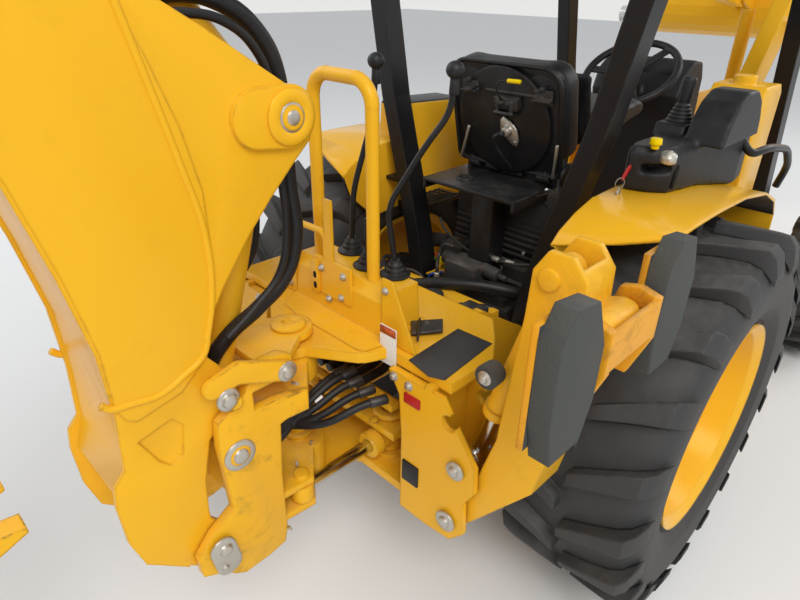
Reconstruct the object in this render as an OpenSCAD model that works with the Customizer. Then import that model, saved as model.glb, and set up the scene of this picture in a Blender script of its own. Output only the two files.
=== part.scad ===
// Compact backhoe loader, folded for transport with its loader arms part raised.
// X points forward, Y to the machine's left, Z up. Ground is Z = 0.
// Places are given from the point on the ground under the rear axle.

/* [Machine] */
// Distance between the front and rear axles
wheelbase = 2000; // [1900:10:2150]
// Rear axle, forward of the middle of the machine's length
rear_axle_x = -673; // [-740:1:-600]

/* [Wheels] */
// Rear tyre outside diameter over the lugs
rear_tyre_d = 1220; // [1160:10:1260]
// Rear tyre width
rear_tyre_w = 430; // [380:10:450]
// Rear rim diameter at the bead
rear_rim_d = 640; // [600:10:680]
// Middle of a rear tyre from the machine's centre plane
rear_track_y = 655; // [645:5:680]
// Front tyre outside diameter over the lugs
front_tyre_d = 830; // [780:10:860]
// Front tyre width
front_tyre_w = 300; // [260:10:310]
// Front rim diameter at the bead
front_rim_d = 430; // [400:10:460]
// Middle of a front tyre from the centre plane
front_track_y = 700; // [690:5:740]
// Front kingpin from the centre plane
kingpin_y = 560; // [540:5:580]
// Height of a tread lug
lug_h = 32; // [20:1:36]
// Lugs in each of a rear tyre's two rows
rear_lugs = 20; // [16:1:22]
// Lugs in each of a front tyre's two rows
front_lugs = 18; // [14:1:20]

/* [Backhoe] */
// Swing axis behind the rear axle
swing_x = -940; // [-960:5:-930]
// Half width of the boom over its side plates
boom_half = 130; // [115:1:135]
// Thickness of the boom's side plates
boom_plate = 14; // [8:1:18]
// Half width of the dipper
dipper_half = 75; // [65:1:80]
// Width of the backhoe bucket
hoe_bucket_w = 460; // [380:10:520]
// Teeth on the backhoe bucket
hoe_teeth = 4; // [3:1:5]
// Plate thickness of the swing frame's two decks
deck_t = 30; // [20:1:36]

/* [Loader] */
// Middle of a loader arm from the centre plane
arm_y = 305; // [300:1:310]
// Width of a loader arm
arm_w = 64; // [56:2:66]
// Width of the loader bucket
loader_bucket_w = 1850; // [1780:10:1950]
// Plate thickness of the loader bucket
bucket_plate = 12; // [8:1:16]

/* [Cylinders] */
// Barrel radius of the boom and dipper cylinders
hoe_barrel_r = 45; // [40:1:48]
// Rod radius of the boom and dipper cylinders
hoe_rod_r = 25; // [20:1:28]
// Barrel radius of the swing and stabilizer cylinders
small_barrel_r = 36; // [32:1:38]
// Rod radius of the swing and stabilizer cylinders
small_rod_r = 19; // [16:1:22]
// Gap between a rod and the barrel it slides in
rod_gap = 0.3; // [0.1:0.1:0.5]
// Gap between a pin and the bore it turns in
pin_gap = 0.3; // [0.1:0.1:0.5]

/* [Operator station] */
// Half the distance between the rear posts at the height of the seat
post_y = 390; // [380:5:400]
// Side of a square canopy post
post_w = 76; // [60:2:80]
// Height of the canopy roof's top
roof_z = 2410; // [2350:10:2450]
// Half width of the engine hood
hood_half = 236; // [220:2:240]
// Height of the hood's top at the dash
hood_z = 1270; // [1220:10:1290]
// Wall of the hood and fenders
skin = 8; // [4:1:12]

/* [Hidden] */
$fn = 48;

yellow = [0.95, 0.68, 0.08];
black = [0.09, 0.09, 0.1];
steel = [0.7, 0.7, 0.68];
rubber_grey = [0.2, 0.2, 0.21];

rear_z = rear_tyre_d / 2;
front_z = front_tyre_d / 2;

// Pivots in the side view, as [x, z].
boom_pivot = [-1284, 579];
boom_base = [-1206, 838];
ear_pivot = [-988, 1561];
lock_pin = [-1205, 994];
lock_pivot = [-1070, 1011];
tip_pivot = [-1800, 2440];
dipper_lug = [-1860, 2690];
bucket_pivot = [-2080, 1380];
lever_pivot = [-2020, 1609];
lever_end = [-2236, 1484];
link_pivot = [-2191, 1238];
hoe_cyl_base = [-2022, 2343];
arm_pivot = [1120, 1180];
arm_rise = 50;
tilt_lug_local = [112, 166];
arm_knee = on_arm([900, 60]);
loader_pin = on_arm([1500, -920]);
tilt_base = on_arm([980, 230]);
tilt_lug = loader_pin + tilt_lug_local;
lift_base = [1230, 640];
lift_eye = on_arm([620, 10]);

// Pivots of the stabilizer in the rear view, as [y, z], and the plane of its legs.
leg_x = -745;
leg_w = 110;
leg_pivot = [470, 576];
leg_cyl_base = [489, 760];
leg_cyl_eye = [650, 1320];
pad_pivot = [753, 1249];
stay_x = -822;

// Swing cylinders in the top view, as [x, y].
trunnion = [-700, 135];
swing_eye = [-1030, 135];
swing_z = 590;

module at_axle() { translate([rear_axle_x, 0, 0]) children(); }

// Outline in the side view, thickness t about the plane y.
module side(y, t) {
    translate([0, y, 0]) rotate([90, 0, 0]) linear_extrude(t, center = true) children();
}

// Outline in the rear view drawn as [y, z], thickness t forward from x.
module cross(x, t) {
    translate([x, 0, 0]) rotate([90, 0, 90]) linear_extrude(t) children();
}

module both_sides() {
    children();
    mirror([0, 1, 0]) children();
}

// Round bar across the machine through p = [x, z].
module pin_y(p, r, y0, y1) {
    translate([p[0], y1, p[1]]) rotate([90, 0, 0]) cylinder(r = r, h = y1 - y0);
}

module pin_x(p, r, x0, x1) {
    translate([x0, p[0], p[1]]) rotate([0, 90, 0]) cylinder(r = r, h = x1 - x0);
}

// Flat link with a round end of radius ra at a and rb at b.
module bar2d(a, b, ra, rb) {
    d = norm(b - a);
    s = (ra - rb) / d;
    c = sqrt(1 - s * s);
    u = (b - a) / d;
    n = [-u[1], u[0]];
    translate(a) circle(ra);
    translate(b) circle(rb);
    polygon([a + ra * (s * u + c * n), b + rb * (s * u + c * n),
        b + rb * (s * u - c * n), a + ra * (s * u - c * n)]);
}

// Frame with its own X from a towards b and its own Y along the pin.
module aim(a, b, pin) {
    ex = (b - a) / norm(b - a);
    ez = cross3(ex, pin);
    multmatrix([[ex[0], pin[0], ez[0], a[0]], [ex[1], pin[1], ez[1], a[1]],
        [ex[2], pin[2], ez[2], a[2]], [0, 0, 0, 1]]) children();
}

function cross3(a, b) = [a[1] * b[2] - a[2] * b[1], a[2] * b[0] - a[0] * b[2], a[0] * b[1] - a[1] * b[0]];
function xz(p, y) = [p[0], y, p[1]];

// Cylinder barrel from its base eye at the origin, along its own X.
module barrel(len, r, rod_r, eye_r, eye_w, pin_r, foot = 0) {
    difference() {
        union() {
            translate([eye_r * 0.7, 0, 0]) rotate([0, 90, 0]) cylinder(r = r, h = len - eye_r * 0.7);
            translate([len - r * 0.8, 0, 0]) rotate([0, 90, 0]) cylinder(r = r + 5, h = r * 0.8);
            rotate([90, 0, 0]) cylinder(r = eye_r, h = eye_w, center = true);
        }
        translate([eye_r + foot + 12, 0, 0]) rotate([0, 90, 0]) cylinder(r = rod_r + rod_gap, h = len);
        rotate([90, 0, 0]) cylinder(r = pin_r + pin_gap, h = 4 * r, center = true);
    }
}

// Round tube through the points, with corners bent to the radius.
module tube(points, r, bend) {
    last = len(points) - 1;
    function dir(i) = (points[i + 1] - points[i]) / norm(points[i + 1] - points[i]);
    function turn(i) = i <= 0 || i >= last ? 0 : acos(min(1, dir(i - 1) * dir(i)));
    function cut(i) = bend * tan(turn(i) / 2);
    for (i = [0 : last - 1]) {
        a = points[i] + dir(i) * cut(i);
        b = points[i + 1] - dir(i) * cut(i + 1);
        segment(a, b, r);
    }
    for (i = [1 : 1 : last - 1]) {
        if (turn(i) > 0.5) {
            w = cross3(dir(i - 1), dir(i)) / norm(cross3(dir(i - 1), dir(i)));
            n = cross3(w, dir(i - 1));
            c = points[i] - dir(i - 1) * cut(i) + n * bend;
            u = -n;
            v = dir(i - 1);
            multmatrix([[u[0], v[0], w[0], c[0]], [u[1], v[1], w[1], c[1]], [u[2], v[2], w[2], c[2]],
                [0, 0, 0, 1]]) rotate_extrude(angle = turn(i)) translate([bend, 0]) circle(r + 0.4);
        }
    }
}

// Straight length of tube; it runs a little into the bends at its ends.
module segment(a, b, r) {
    lap = 2;
    d = b - a;
    h = norm(d);
    side_on = abs(d[2]) < 0.9 * h ? [0, 0, 1] : [1, 0, 0];
    ex = d / h;
    ey = cross3(side_on, ex) / norm(cross3(side_on, ex));
    ez = cross3(ex, ey);
    multmatrix([[ey[0], ez[0], ex[0], a[0]], [ey[1], ez[1], ex[1], a[1]], [ey[2], ez[2], ex[2], a[2]],
        [0, 0, 0, 1]]) translate([0, 0, -lap]) cylinder(r = r, h = h + 2 * lap);
}

// Running gear

module tyre(d, w, rim_d, lugs) {
    base_r = d / 2 - lug_h;
    color(rubber_grey) {
        rotate([90, 0, 0]) rotate_extrude($fn = 27)
            polygon([[rim_d / 2 + 1.5, -w * 0.35], [rim_d / 2 + 40, -w * 0.45], [base_r * 0.80, -w * 0.5],
                [base_r, -w * 0.38], [base_r, w * 0.38],
                [base_r * 0.80, w * 0.5], [rim_d / 2 + 40, w * 0.45], [rim_d / 2 + 1.5, w * 0.35]]);
        for (row = [-1, 1], i = [0 : lugs - 1])
            rotate([0, (i + row / 4) * 360 / lugs, 0]) lug(d, w, lugs, row);
    }
}

// One slanted lug, from the middle of the tread to its shoulder.
module lug(d, w, lugs, row) {
    pitch = PI * d / lugs;
    top = sqrt(pow(d / 2, 2) - pow(pitch * 0.36, 2));
    foot = (d / 2 - lug_h) * 0.92;
    hull() translate([0, 0, foot]) linear_extrude(top - foot)
        polygon([[-pitch * 0.34, -row * w * 0.025], [-pitch * 0.10, -row * w * 0.025],
            [pitch * 0.36, row * w * 0.48], [-pitch * 0.04, row * w * 0.48]]);
}

// Rim with its disc; the outside faces +Y.
module rim(rim_d, w, disc_y, hub_r, colour) {
    r = rim_d / 2;
    color(colour) rotate([-90, 0, 0]) rotate_extrude() {
        polygon([[r, -w * 0.36], [r + 20, -w * 0.41], [r + 20, -w * 0.43], [r - 12, -w * 0.38],
            [r - 42, -w * 0.2], [r - 42, w * 0.2], [r - 12, w * 0.38], [r + 20, w * 0.43],
            [r + 20, w * 0.41], [r, w * 0.36], [r - 28, w * 0.19], [r - 28, -w * 0.19]]);
        polygon([[hub_r, disc_y], [r * 0.5, disc_y + 18], [r - 41, disc_y - 24], [r - 41, disc_y - 38],
            [r * 0.48, disc_y + 4], [hub_r, disc_y - 14]]);
    }
}

module rear_tyre() { tyre(rear_tyre_d, rear_tyre_w, rear_rim_d, rear_lugs); }
module front_tyre() { tyre(front_tyre_d, front_tyre_w, front_rim_d, front_lugs); }

rear_disc_y = 40;
front_disc_y = 30;
hub_r = 60;

module tyre_rear_left() { at_axle() translate([0, rear_track_y, rear_z]) mirror([0, 1, 0]) rear_tyre(); }
module tyre_rear_right() { at_axle() translate([0, -rear_track_y, rear_z]) rear_tyre(); }
module tyre_front_left() {
    at_axle() translate([wheelbase, front_track_y, front_z]) mirror([0, 1, 0]) front_tyre();
}
module tyre_front_right() { at_axle() translate([wheelbase, -front_track_y, front_z]) front_tyre(); }
module rear_rim() { rim(rear_rim_d, rear_tyre_w, rear_disc_y, hub_r + pin_gap, yellow); }
module front_rim() { rim(front_rim_d, front_tyre_w, front_disc_y, hub_r + pin_gap, yellow); }
module rim_rear_left() { at_axle() translate([0, rear_track_y, rear_z]) rear_rim(); }
module rim_rear_right() { at_axle() translate([0, -rear_track_y, rear_z]) mirror([0, 1, 0]) rear_rim(); }
module rim_front_left() { at_axle() translate([wheelbase, front_track_y, front_z]) front_rim(); }
module rim_front_right() {
    at_axle() translate([wheelbase, -front_track_y, front_z]) mirror([0, 1, 0]) front_rim();
}

axle_r = 105;
housing_half = 168;

module rear_axle() {
    color(black) at_axle() {
        both_sides() {
            translate([0, 0, rear_z]) rotate([-90, 0, 0]) cylinder(r = axle_r, h = rear_track_y - 90);
            translate([0, rear_track_y - 90, rear_z]) rotate([-90, 0, 0]) cylinder(r = hub_r, h = 160);
            translate([0, rear_track_y - 160, rear_z]) rotate([-90, 0, 0]) cylinder(r = axle_r + 40, h = 40);
        }
        translate([-200, -housing_half, 440]) cube([460, 2 * housing_half, 380]);
        for (i = [0 : 5]) translate([-180 + 70 * i, -housing_half + 20, 820]) cube([30, 2 * housing_half - 40, 26]);
        translate([260, -140, 470]) cube([620, 280, 300]);
    }
}

pivot_z = 470;
steer_pin_r = 20;

module front_axle() {
    color(yellow) at_axle() difference() {
        union() {
            cross(wheelbase - 60, 120) polygon(concat(half_beam(1), [for (i = [4 : -1 : 1]) half_beam(-1)[i]]));
            both_sides() for (z = [front_z + 45, front_z - 75]) {
                translate([wheelbase, kingpin_y, z]) cylinder(r = 46, h = 30);
                translate([wheelbase - 42, kingpin_y - 100, z]) cube([84, 100, 30]);
            }
        }
        both_sides() translate([wheelbase, kingpin_y, 0]) cylinder(r = steer_pin_r + pin_gap, h = 2 * front_z);
        pin_x([0, pivot_z], 30 + pin_gap, wheelbase - 80, wheelbase + 80);
    }
}

// Half of the beam's outline in the front view, from the top to the underside.
function half_beam(s) = [[0, pivot_z + 62], [s * 120, pivot_z + 55], [s * (kingpin_y - 62), front_z + 52],
    [s * (kingpin_y - 62), front_z - 52], [s * 120, pivot_z - 75], [0, pivot_z - 85]];

// Steering knuckle on the left; its pin stands in the axle's two lugs.
module knuckle() {
    color(black) {
        cylinder(r = 42, h = 89, center = true);
        cylinder(r = steer_pin_r, h = 170, center = true);
        rotate([-90, 0, 0]) cylinder(r = 40, h = 60);
        translate([0, 52, 0]) rotate([-90, 0, 0]) cylinder(r = hub_r, h = front_track_y - kingpin_y + 18);
        translate([-150, -10, -18]) cube([150, 26, 34]);
    }
}

module knuckle_left() { at_axle() translate([wheelbase, kingpin_y, front_z]) knuckle(); }
module knuckle_right() { at_axle() translate([wheelbase, -kingpin_y, front_z]) mirror([0, 1, 0]) knuckle(); }

engine_x = 1010;
engine_l = 760;

module engine_block() {
    color([0.25, 0.25, 0.25]) at_axle() translate([engine_x, -175, 600]) cube([engine_l, 350, 470]);
}

// Frame and bodywork

rail_y = 215;
rail_t = 26;

module main_frame() {
    color(yellow) at_axle() difference() {
        union() {
            both_sides() side(rail_y + rail_t / 2, rail_t)
                polygon([[-700, 500], [-700, 944], [-420, 944], [-200, 800], [900, 800], [1300, 700],
                    [2200, 700], [2330, 640], [2330, 560], [1800, 560], [1500, 470], [300, 470],
                    [-300, 470]]);
            // Upper and lower decks that carry the swing axis
            translate([0, 0, top_deck_z]) linear_extrude(deck_t) top_deck();
            translate([0, 0, low_deck_z]) linear_extrude(deck_t) low_deck();
            // Rear wall with its arched opening
            cross(stay_x, 24) difference() {
                polygon([[-400, 500], [-400, 940], [400, 940], [400, 500]]);
                polygon([[-300, 490], [-300, 760], [-290, 880], [-240, 960], [240, 960],
                    [290, 880], [300, 760], [300, 490]]);
            }
            both_sides() translate([stay_x, 376, 500]) cube([160, 24, 450]);
            // Stabilizer brackets, a plate behind and before each leg
            both_sides() for (x = [stay_x, leg_x + leg_w / 2 + 6])
                cross(x, bracket_t) difference() {
                    polygon([[376, 500], [396, 940], [430, 940], [540, 790], [545, 715], [515, 660],
                        [522, 560], [480, 510], [400, 500]]);
                    translate([455, 880]) circle(22);
                }
            both_sides() pin_x(leg_pivot, 24, stay_x - 6, leg_x + leg_w / 2 + 28);
            // Cross plate with the bosses that hold the swing cylinders' trunnions
            translate([-765, -rail_y - 1, 640]) cube([125, 2 * rail_y + 2, 26]);
            both_sides() translate([trunnion[0], trunnion[1], 520]) cylinder(r = 52, h = 24);
            // Cross members, hose clamp bar and the operator's floor
            translate([-500, -rail_y - 1, 860]) cube([200, 2 * rail_y + 2, 30]);
            translate([-775, -rail_y - 1, clamp_z - 24]) cube([30, 2 * rail_y + 2, 24]);
            translate([300, -400, 798]) cube([620, 800, floor_t]);
            both_sides() translate([650, 380, 798]) cube([270, 190, floor_t]);
            // Engine mounts and the front posts' outriggers
            both_sides() for (x = [1060, 1660]) translate([x, 175.3, 620]) cube([60, rail_y - 173, 24]);
            both_sides() translate([1296, rail_y + rail_t - 3, 560]) cube([100, 275, 25]);
            // Front bolster, its two axle hangers and the nose plate
            translate([wheelbase - 120, -rail_y - 1, pivot_z + 90]) cube([240, 2 * rail_y + 2, 60]);
            for (x = [wheelbase - 120, wheelbase + 64])
                translate([x, -60, pivot_z - 40]) cube([56, 120, 140]);
            pin_x([0, pivot_z], 30, wheelbase - 118, wheelbase + 118);
            translate([2304, -rail_y - 1, 560]) cube([26, 2 * rail_y + 2, 80]);
        }
        both_sides() pin_y([0, rear_z], axle_r + pin_gap, 150, 280);
        translate([swing_x, 0, 0]) cylinder(r = kingpin_r + pin_gap, h = 1200);
        both_sides() translate([trunnion[0], trunnion[1], 521]) cylinder(r = trunnion_r + pin_gap, h = 200);
    }
    // Heads of the pins at the feet of the stabilizer cylinders
    color(yellow) at_axle() both_sides() for (x = [stay_x - 6, leg_x + leg_w / 2 + 4])
        pin_x(leg_cyl_base, 20, x, x + 24);
}

trunnion_r = 34;
bracket_t = 16;
clamp_z = 774;
floor_t = 14;

top_deck_z = 945;
low_deck_z = 500;
kingpin_r = 32;

module low_deck() {
    translate([swing_x, 0]) circle(80);
    polygon([[swing_x - 10, 79], [swing_x - 10, -79], [-800, -80], [-785, -100],
        [-785, -400], [-640, -400], [-640, 400], [-785, 400], [-785, 100], [-800, 80]]);
}

// Rounded nose about the swing axis, then the full width of the rear step.
module top_deck() {
    translate([swing_x, 0]) circle(74);
    polygon([[-945, 73], [-945, -73], [-870, -188], [-852, -204], [-800, -226], [-800, -440], [-640, -440],
        [-560, -385], [-482, -320], [-482, 320], [-560, 385], [-640, 440], [-800, 440], [-800, 226],
        [-852, 204], [-870, 188]]);
}

module hood() {
    color(yellow) at_axle() {
        difference() {
            cross(930, 1270) hood_outline(0);
            cross(930 + skin, 1270 - 2 * skin) hood_outline(skin);
            for (i = [0 : 6]) translate([2170, -170, 850 + 38 * i]) cube([60, 340, 22]);
            both_sides() for (i = [0 : 5]) translate([1180 + 70 * i, hood_half - 20, 1000]) cube([34, 40, 110]);
        }
        translate([1560, -150, hood_z - 25]) cylinder(r = 52, h = 130);
        translate([1560, -150, hood_z + 100]) cylinder(r = 30, h = 330);
    }
}

// Rear view of the hood, drawn in by t; its underside is open.
module hood_outline(t) {
    low = t > 0 ? 800 : 810;
    polygon([[t - hood_half, low], [t - hood_half, 1150 - t / 2], [t / 2 + 60 - hood_half, hood_z - 20 - t],
        [t / 4 - 110, hood_z - t], [110 - t / 4, hood_z - t], [hood_half - 60 - t / 2, hood_z - 20 - t],
        [hood_half - t, 1150 - t / 2], [hood_half - t, low]]);
}

fender_in = 412;
fender_out = 700;

// Filled form under a fender: arched over the tyre, its outer edge flatter towards the rear.
module fender_form(t) {
    hull() {
        side(fender_in + 2, 4) polygon([[-392 - t, 1198 - t * 2], [-356, 1228 - t], [-285, 1260 - t],
            [-201, 1283 - t], [-77, 1286 - t], [154, 1274 - t], [366, 1239 - t], [501 - t, 1187 - t],
            [549 - t, 1124], [560 - t, 1057 - 2 * t]]);
        side(fender_out - 2, 4) polygon([[-312 - t, 1262 - t * 2], [-304, 1284 - t], [-204, 1287 - t],
            [-48, 1285 - t], [154, 1274 - t], [366, 1239 - t], [501 - t, 1187 - t], [549 - t, 1124],
            [560 - t, 1057 - 2 * t]]);
    }
}

// Rear fender: shell over the tyre, rolled outer edge, and an inner wall down beside the seat.
module fender_shell() {
    color(yellow) {
        difference() {
            fender_form(0);
            translate([0, -20, 0]) scale([1, 1.06, 1]) fender_form(skin);
        }
        side(fender_in + 6, 12) polygon([[-388, 1194], [-354, 1222], [-283, 1254], [-200, 1277], [-77, 1280],
            [154, 1268], [366, 1233], [497, 1182], [543, 1120], [554, 1058], [540, 860], [420, 815],
            [330, 815], [250, 1000], [0, 1040], [-250, 1020], [-360, 1120]]);
    }
}

// The left fender carries a raised tool box.
module fender_left() {
    at_axle() {
        fender_shell();
        color(yellow) side(fender_in + 70, 140) polygon([[-83, 1280], [-75, 1392], [-60, 1404], [230, 1390],
            [250, 1372], [262, 1262], [154, 1268]]);
    }
}
module fender_right() { at_axle() mirror([0, 1, 0]) fender_shell(); }

// Moulded console on the right fender with a rounded lever housing.
module side_console() {
    color(black) at_axle() difference() {
        union() {
            translate([0, 0, 1236]) linear_extrude(160) console_outline(0);
            translate([0, 0, 1395]) linear_extrude(16) console_outline(9);
            side(-565, 110) polygon([[96, 1400], [120, 1462], [168, 1512], [232, 1540], [300, 1538], [352, 1506],
                [384, 1452], [398, 1400]]);
            side(-450, 90) polygon([[120, 1400], [140, 1440], [290, 1440], [320, 1400]]);
            translate([205, -450, 1435]) rotate([0, 6, 0]) cylinder(r1 = 30, r2 = 15, h = 60);
            translate([205, -450, 1490]) rotate([0, 8, 0]) cylinder(r1 = 17, r2 = 22, h = 75);
        }
        translate([0, 0, 0.3]) mirror([0, 1, 0]) fender_form(0);
        translate([0, -fender_in + 0.3, 1200]) cube([600, 40, 60]);
        translate([-70, -540, 1340]) cube([60, 70, 24]);
    }
}

// Console in the top view, drawn in by t.
module console_outline(t) {
    polygon([[-84 + t, -439 - t / 2], [-62 + t, -500], [-19 + t, -541 + t], [76, -553 + t], [207, -566 + t],
        [400, -590 + t], [500 - t, -576 + t], [510 - t, -418 - t], [-40 + t, -418 - t]]);
}

// Oil tank that stands on the floor beside the dash.
module hydraulic_tank() {
    color(yellow) at_axle() {
        side(-440, 180) polygon([[700, 812.3], [690, 830], [690, 1460], [720, 1490], [880, 1490],
            [910, 1460], [910, 830], [900, 812.3]]);
        translate([765, -440, 1485]) cylinder(r = 38, h = 36);
    }
}

module dashboard() {
    color(black) at_axle() {
        side(0, 380) polygon([[880, 812.3], [868, 1300], [846, 1400], [880, 1480], [960, 1532], [1040, 1520],
            [1070, 1460], [1080, hood_z + 0.3], [929.7, hood_z + 0.3], [929.7, 812.3]]);
        steering_column();
    }
}

wheel_centre = [790, 0, 1480];
wheel_tilt = 35;

module steering_column() {
    translate(wheel_centre) rotate([0, -wheel_tilt, 0]) translate([0, 0, -190]) cylinder(r = 30, h = 171.7);
}

module steering_wheel() {
    color(black) at_axle() translate(wheel_centre) rotate([0, -wheel_tilt, 0]) {
        rotate_extrude() translate([180, 0]) circle(15);
        translate([0, 0, -18]) cylinder(r = 42, h = 30);
        for (a = [90, 210, 330]) rotate([0, 0, a]) translate([30, -12, -7]) cube([145, 24, 12]);
    }
}

module seat_base() {
    color(black) at_axle() {
        translate([-178, -70, 846.3]) cube([84, 84, 362]);
        translate([-235, -185, 1205]) cube([245, 370, 14]);
        both_sides() translate([-235, 173, 1180]) cube([245, 12, 30]);
    }
}

seat_hinge = [0, 1240];

// Seat tipped forward about its front edge: underside to the rear.
module seat() {
    color(black) at_axle() {
        // Pan, its rim and the squab
        side(0, 420) polygon([[-18, 1238], [-38, 1320], [-94, 1560], [-84, 1584], [-58, 1592], [-30, 1560],
            [16, 1330], [18, 1242]]);
        side(0, 470) polygon([[-72, 1500], [-84, 1556], [-76, 1596], [-52, 1606], [-20, 1600], [60, 1590],
            [100, 1540], [130, 1340], [110, 1290], [40, 1270], [-10, 1290], [-24, 1330], [10, 1330], [-26, 1520]]);
        // Back, folded down over the squab
        side(0, 430) polygon([[70, 1580], [128, 1350], [150, 1300], [330, 1330], [520, 1376], [548, 1400],
            [540, 1432], [500, 1446], [320, 1420], [200, 1400], [150, 1480], [110, 1570]]);
        pin_y(seat_hinge, 20.7, -165, 165);
    }
}

roof_x0 = -420;
roof_x1 = 1180;

// Outline of a strip of width w along points that rise one above the other.
function strip(points, w) = concat([for (p = points) [p[0] - w / 2, p[1]]],
    [for (i = [len(points) - 1 : -1 : 0]) [points[i][0] + w / 2, points[i][1]]]);

module canopy_posts() {
    color(black) at_axle() both_sides() {
        cross(-160 - post_w / 2, post_w) polygon(strip([[rail_y + rail_t / 2, 800.3], [post_y - 128, 985],
            [post_y - 90, 1130], [post_y - 45, 1285], [post_y, 1450], [post_y + 60, 1768],
            [post_y + 140, roof_z - 69.3]], post_w * 0.8));
        side(482, post_w * 0.8) polygon(strip([[1345, 585.3], [1110, 1470], [930, roof_z - 69.3]], post_w));
        translate([-185, post_y - 70, 1150]) cube([50, fender_in - post_y + 69.7, 14]);
    }
}

module canopy_roof() {
    color(black) at_axle() {
        translate([roof_x0, -620, roof_z - 69]) cube([roof_x1 - roof_x0 + 60, 1240, 16]);
        side(0, 1180) polygon([[roof_x0 + 20, roof_z - 53], [roof_x0 + 60, roof_z], [roof_x1, roof_z],
            [roof_x1 + 40, roof_z - 53]]);
    }
}

tower_x = -745;

module control_tower() {
    color(yellow) at_axle() {
        side(0, 376) polygon([[-643, 977], [-778, 977], [-770, 1070], [-745, 1100], [-652, 1100]]);
        translate([0, 0, 975.3]) linear_extrude(4) polygon([[-625, -205], [-780, -214], [-848, -200],
            [-862, -180], [-862, 60], [-848, 150], [-780, 190], [-625, 190]]);
        // Gussets, valve bracket, upright tab and bent stop bar
        both_sides() cross(-778, 8) polygon([[300, 975.3], [180, 975.3], [180, 1150], [216, 1150]]);
        translate([-778, -60, 1020]) cube([12, 150, 110]);
        translate([-776, 12, 1100]) cube([8, 30, 200]);
        tube([[-768, 45, 1095], [-768, 45, 1204], [-768, 172, 1200], [-768, 194, 1262]], 9, 22);
        tube([[tower_x + 20, -95, 1080], [tower_x + 20, -95, 1600], [tower_x + 20, 124, 1600],
            [tower_x + 20, 124, 1080]], 17, 60);
    }
}

module control_levers() {
    color(black) at_axle() {
        for (p = [[-643, 84], [-680, -25], [-666, -117]]) translate([p[0], p[1], 1100.3])
            scale([1, 1.25, 1]) cylinder(r1 = 34, r2 = 15, h = 42);
        tube([[-666, -117, 1130], [-672, -92, 1285], [-600, -150, 1440], [-548, -184, 1520], [-542, -186, 1600]],
            8, 30);
        tube([[-643, 84, 1130], [-650, 64, 1290], [-580, 62, 1470], [-566, 60, 1600]], 8, 30);
        for (p = [[-542, -186], [-566, 60]]) translate([p[0], p[1], 1616]) sphere(24);
    }
}

// Loader

side_gap = 3;
plate_t = 12;
arm_in = arm_y - arm_w / 2;
arm_out = arm_y + arm_w / 2;
lift_y = arm_out + 63;

function turned(p, a) = [p[0] * cos(a) - p[1] * sin(a), p[0] * sin(a) + p[1] * cos(a)];
// Place of a point of the arm drawn lowered, with its pivot at the origin.
function on_arm(p) = arm_pivot + turned(p, arm_rise);

module loader_frame() {
    color(yellow) at_axle() both_sides() {
        for (y = [arm_in - side_gap - plate_t / 2, arm_out + side_gap + plate_t / 2]) side(y, plate_t)
            polygon([[990, 560], [1290, 560], [1285, 700], [1210, 900], [1195, 1180], [1170, 1235],
                [1110, 1250], [1055, 1215], [1040, 1150], [1030, 900], [990, 760]]);
        pin_y(arm_pivot, 28, arm_in - side_gap - plate_t - 4, arm_out + side_gap + plate_t + 6);
        pin_y(lift_base, 20, arm_out + side_gap + 1, lift_y + 38);
        translate([1000, rail_y + rail_t + 0.3, 560]) cube([280, arm_out - rail_y - rail_t + 3, 60]);
    }
}

knee_r = 82;

module loader_arms() {
    color(yellow) at_axle() {
        both_sides() {
            side(arm_y, arm_w) difference() {
                union() {
                    bar2d(arm_pivot, arm_knee, 62, knee_r);
                    bar2d(arm_knee, loader_pin, knee_r, 62);
                }
                translate(arm_pivot) circle(28 + pin_gap);
                translate(loader_pin) circle(24 + pin_gap);
            }
            for (y = [arm_in, arm_out]) side(y, 8) difference() {
                bar2d(tilt_base, on_arm([860, 60]), 40, 70);
                translate(arm_knee) circle(10);
            }
            pin_y(tilt_base, 18, arm_in - 4, arm_out + 4);
        }
        pin_y(on_arm([1340, -660]), 48, -arm_y, arm_y);
    }
}

lift_barrel_len = 640;
tilt_barrel_len = 900;
lift_barrel_r = 40;
tilt_barrel_r = 26;
tilt_eye_w = 42;

module lift_barrels() {
    color(black) at_axle() both_sides() aim(xz(lift_base, lift_y), xz(lift_eye, lift_y), [0, 1, 0])
        barrel(lift_barrel_len, lift_barrel_r, 22, 38, 66, 20);
}

// The rod carries the pin at its eye.
module lift_rods() {
    length = norm(lift_eye - lift_base);
    color(steel) at_axle() both_sides() {
        aim(xz(lift_base, lift_y), xz(lift_eye, lift_y), [0, 1, 0]) {
            translate([length - lift_barrel_len, 0, 0]) rotate([0, 90, 0]) cylinder(r = 22, h = lift_barrel_len);
            translate([length, 0, 0]) rotate([90, 0, 0]) cylinder(r = 38, h = 56, center = true);
        }
        pin_y(lift_eye, 20, arm_out + side_gap, lift_y + 36);
    }
}

module tilt_barrels() {
    color(black) at_axle() both_sides() aim(xz(tilt_base, arm_y), xz(tilt_lug, arm_y), [0, 1, 0])
        barrel(tilt_barrel_len, tilt_barrel_r, 19, 30, tilt_eye_w, 18);
}

module tilt_rods() {
    length = norm(tilt_lug - tilt_base);
    color(steel) at_axle() both_sides() aim(xz(tilt_base, arm_y), xz(tilt_lug, arm_y), [0, 1, 0]) {
        translate([length - tilt_barrel_len, 0, 0]) rotate([0, 90, 0]) cylinder(r = 19, h = tilt_barrel_len);
        translate([length, 0, 0]) rotate([90, 0, 0]) cylinder(r = 32, h = arm_w - 4, center = true);
    }
}

ear_y = arm_w / 2 + side_gap + 8;

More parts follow.
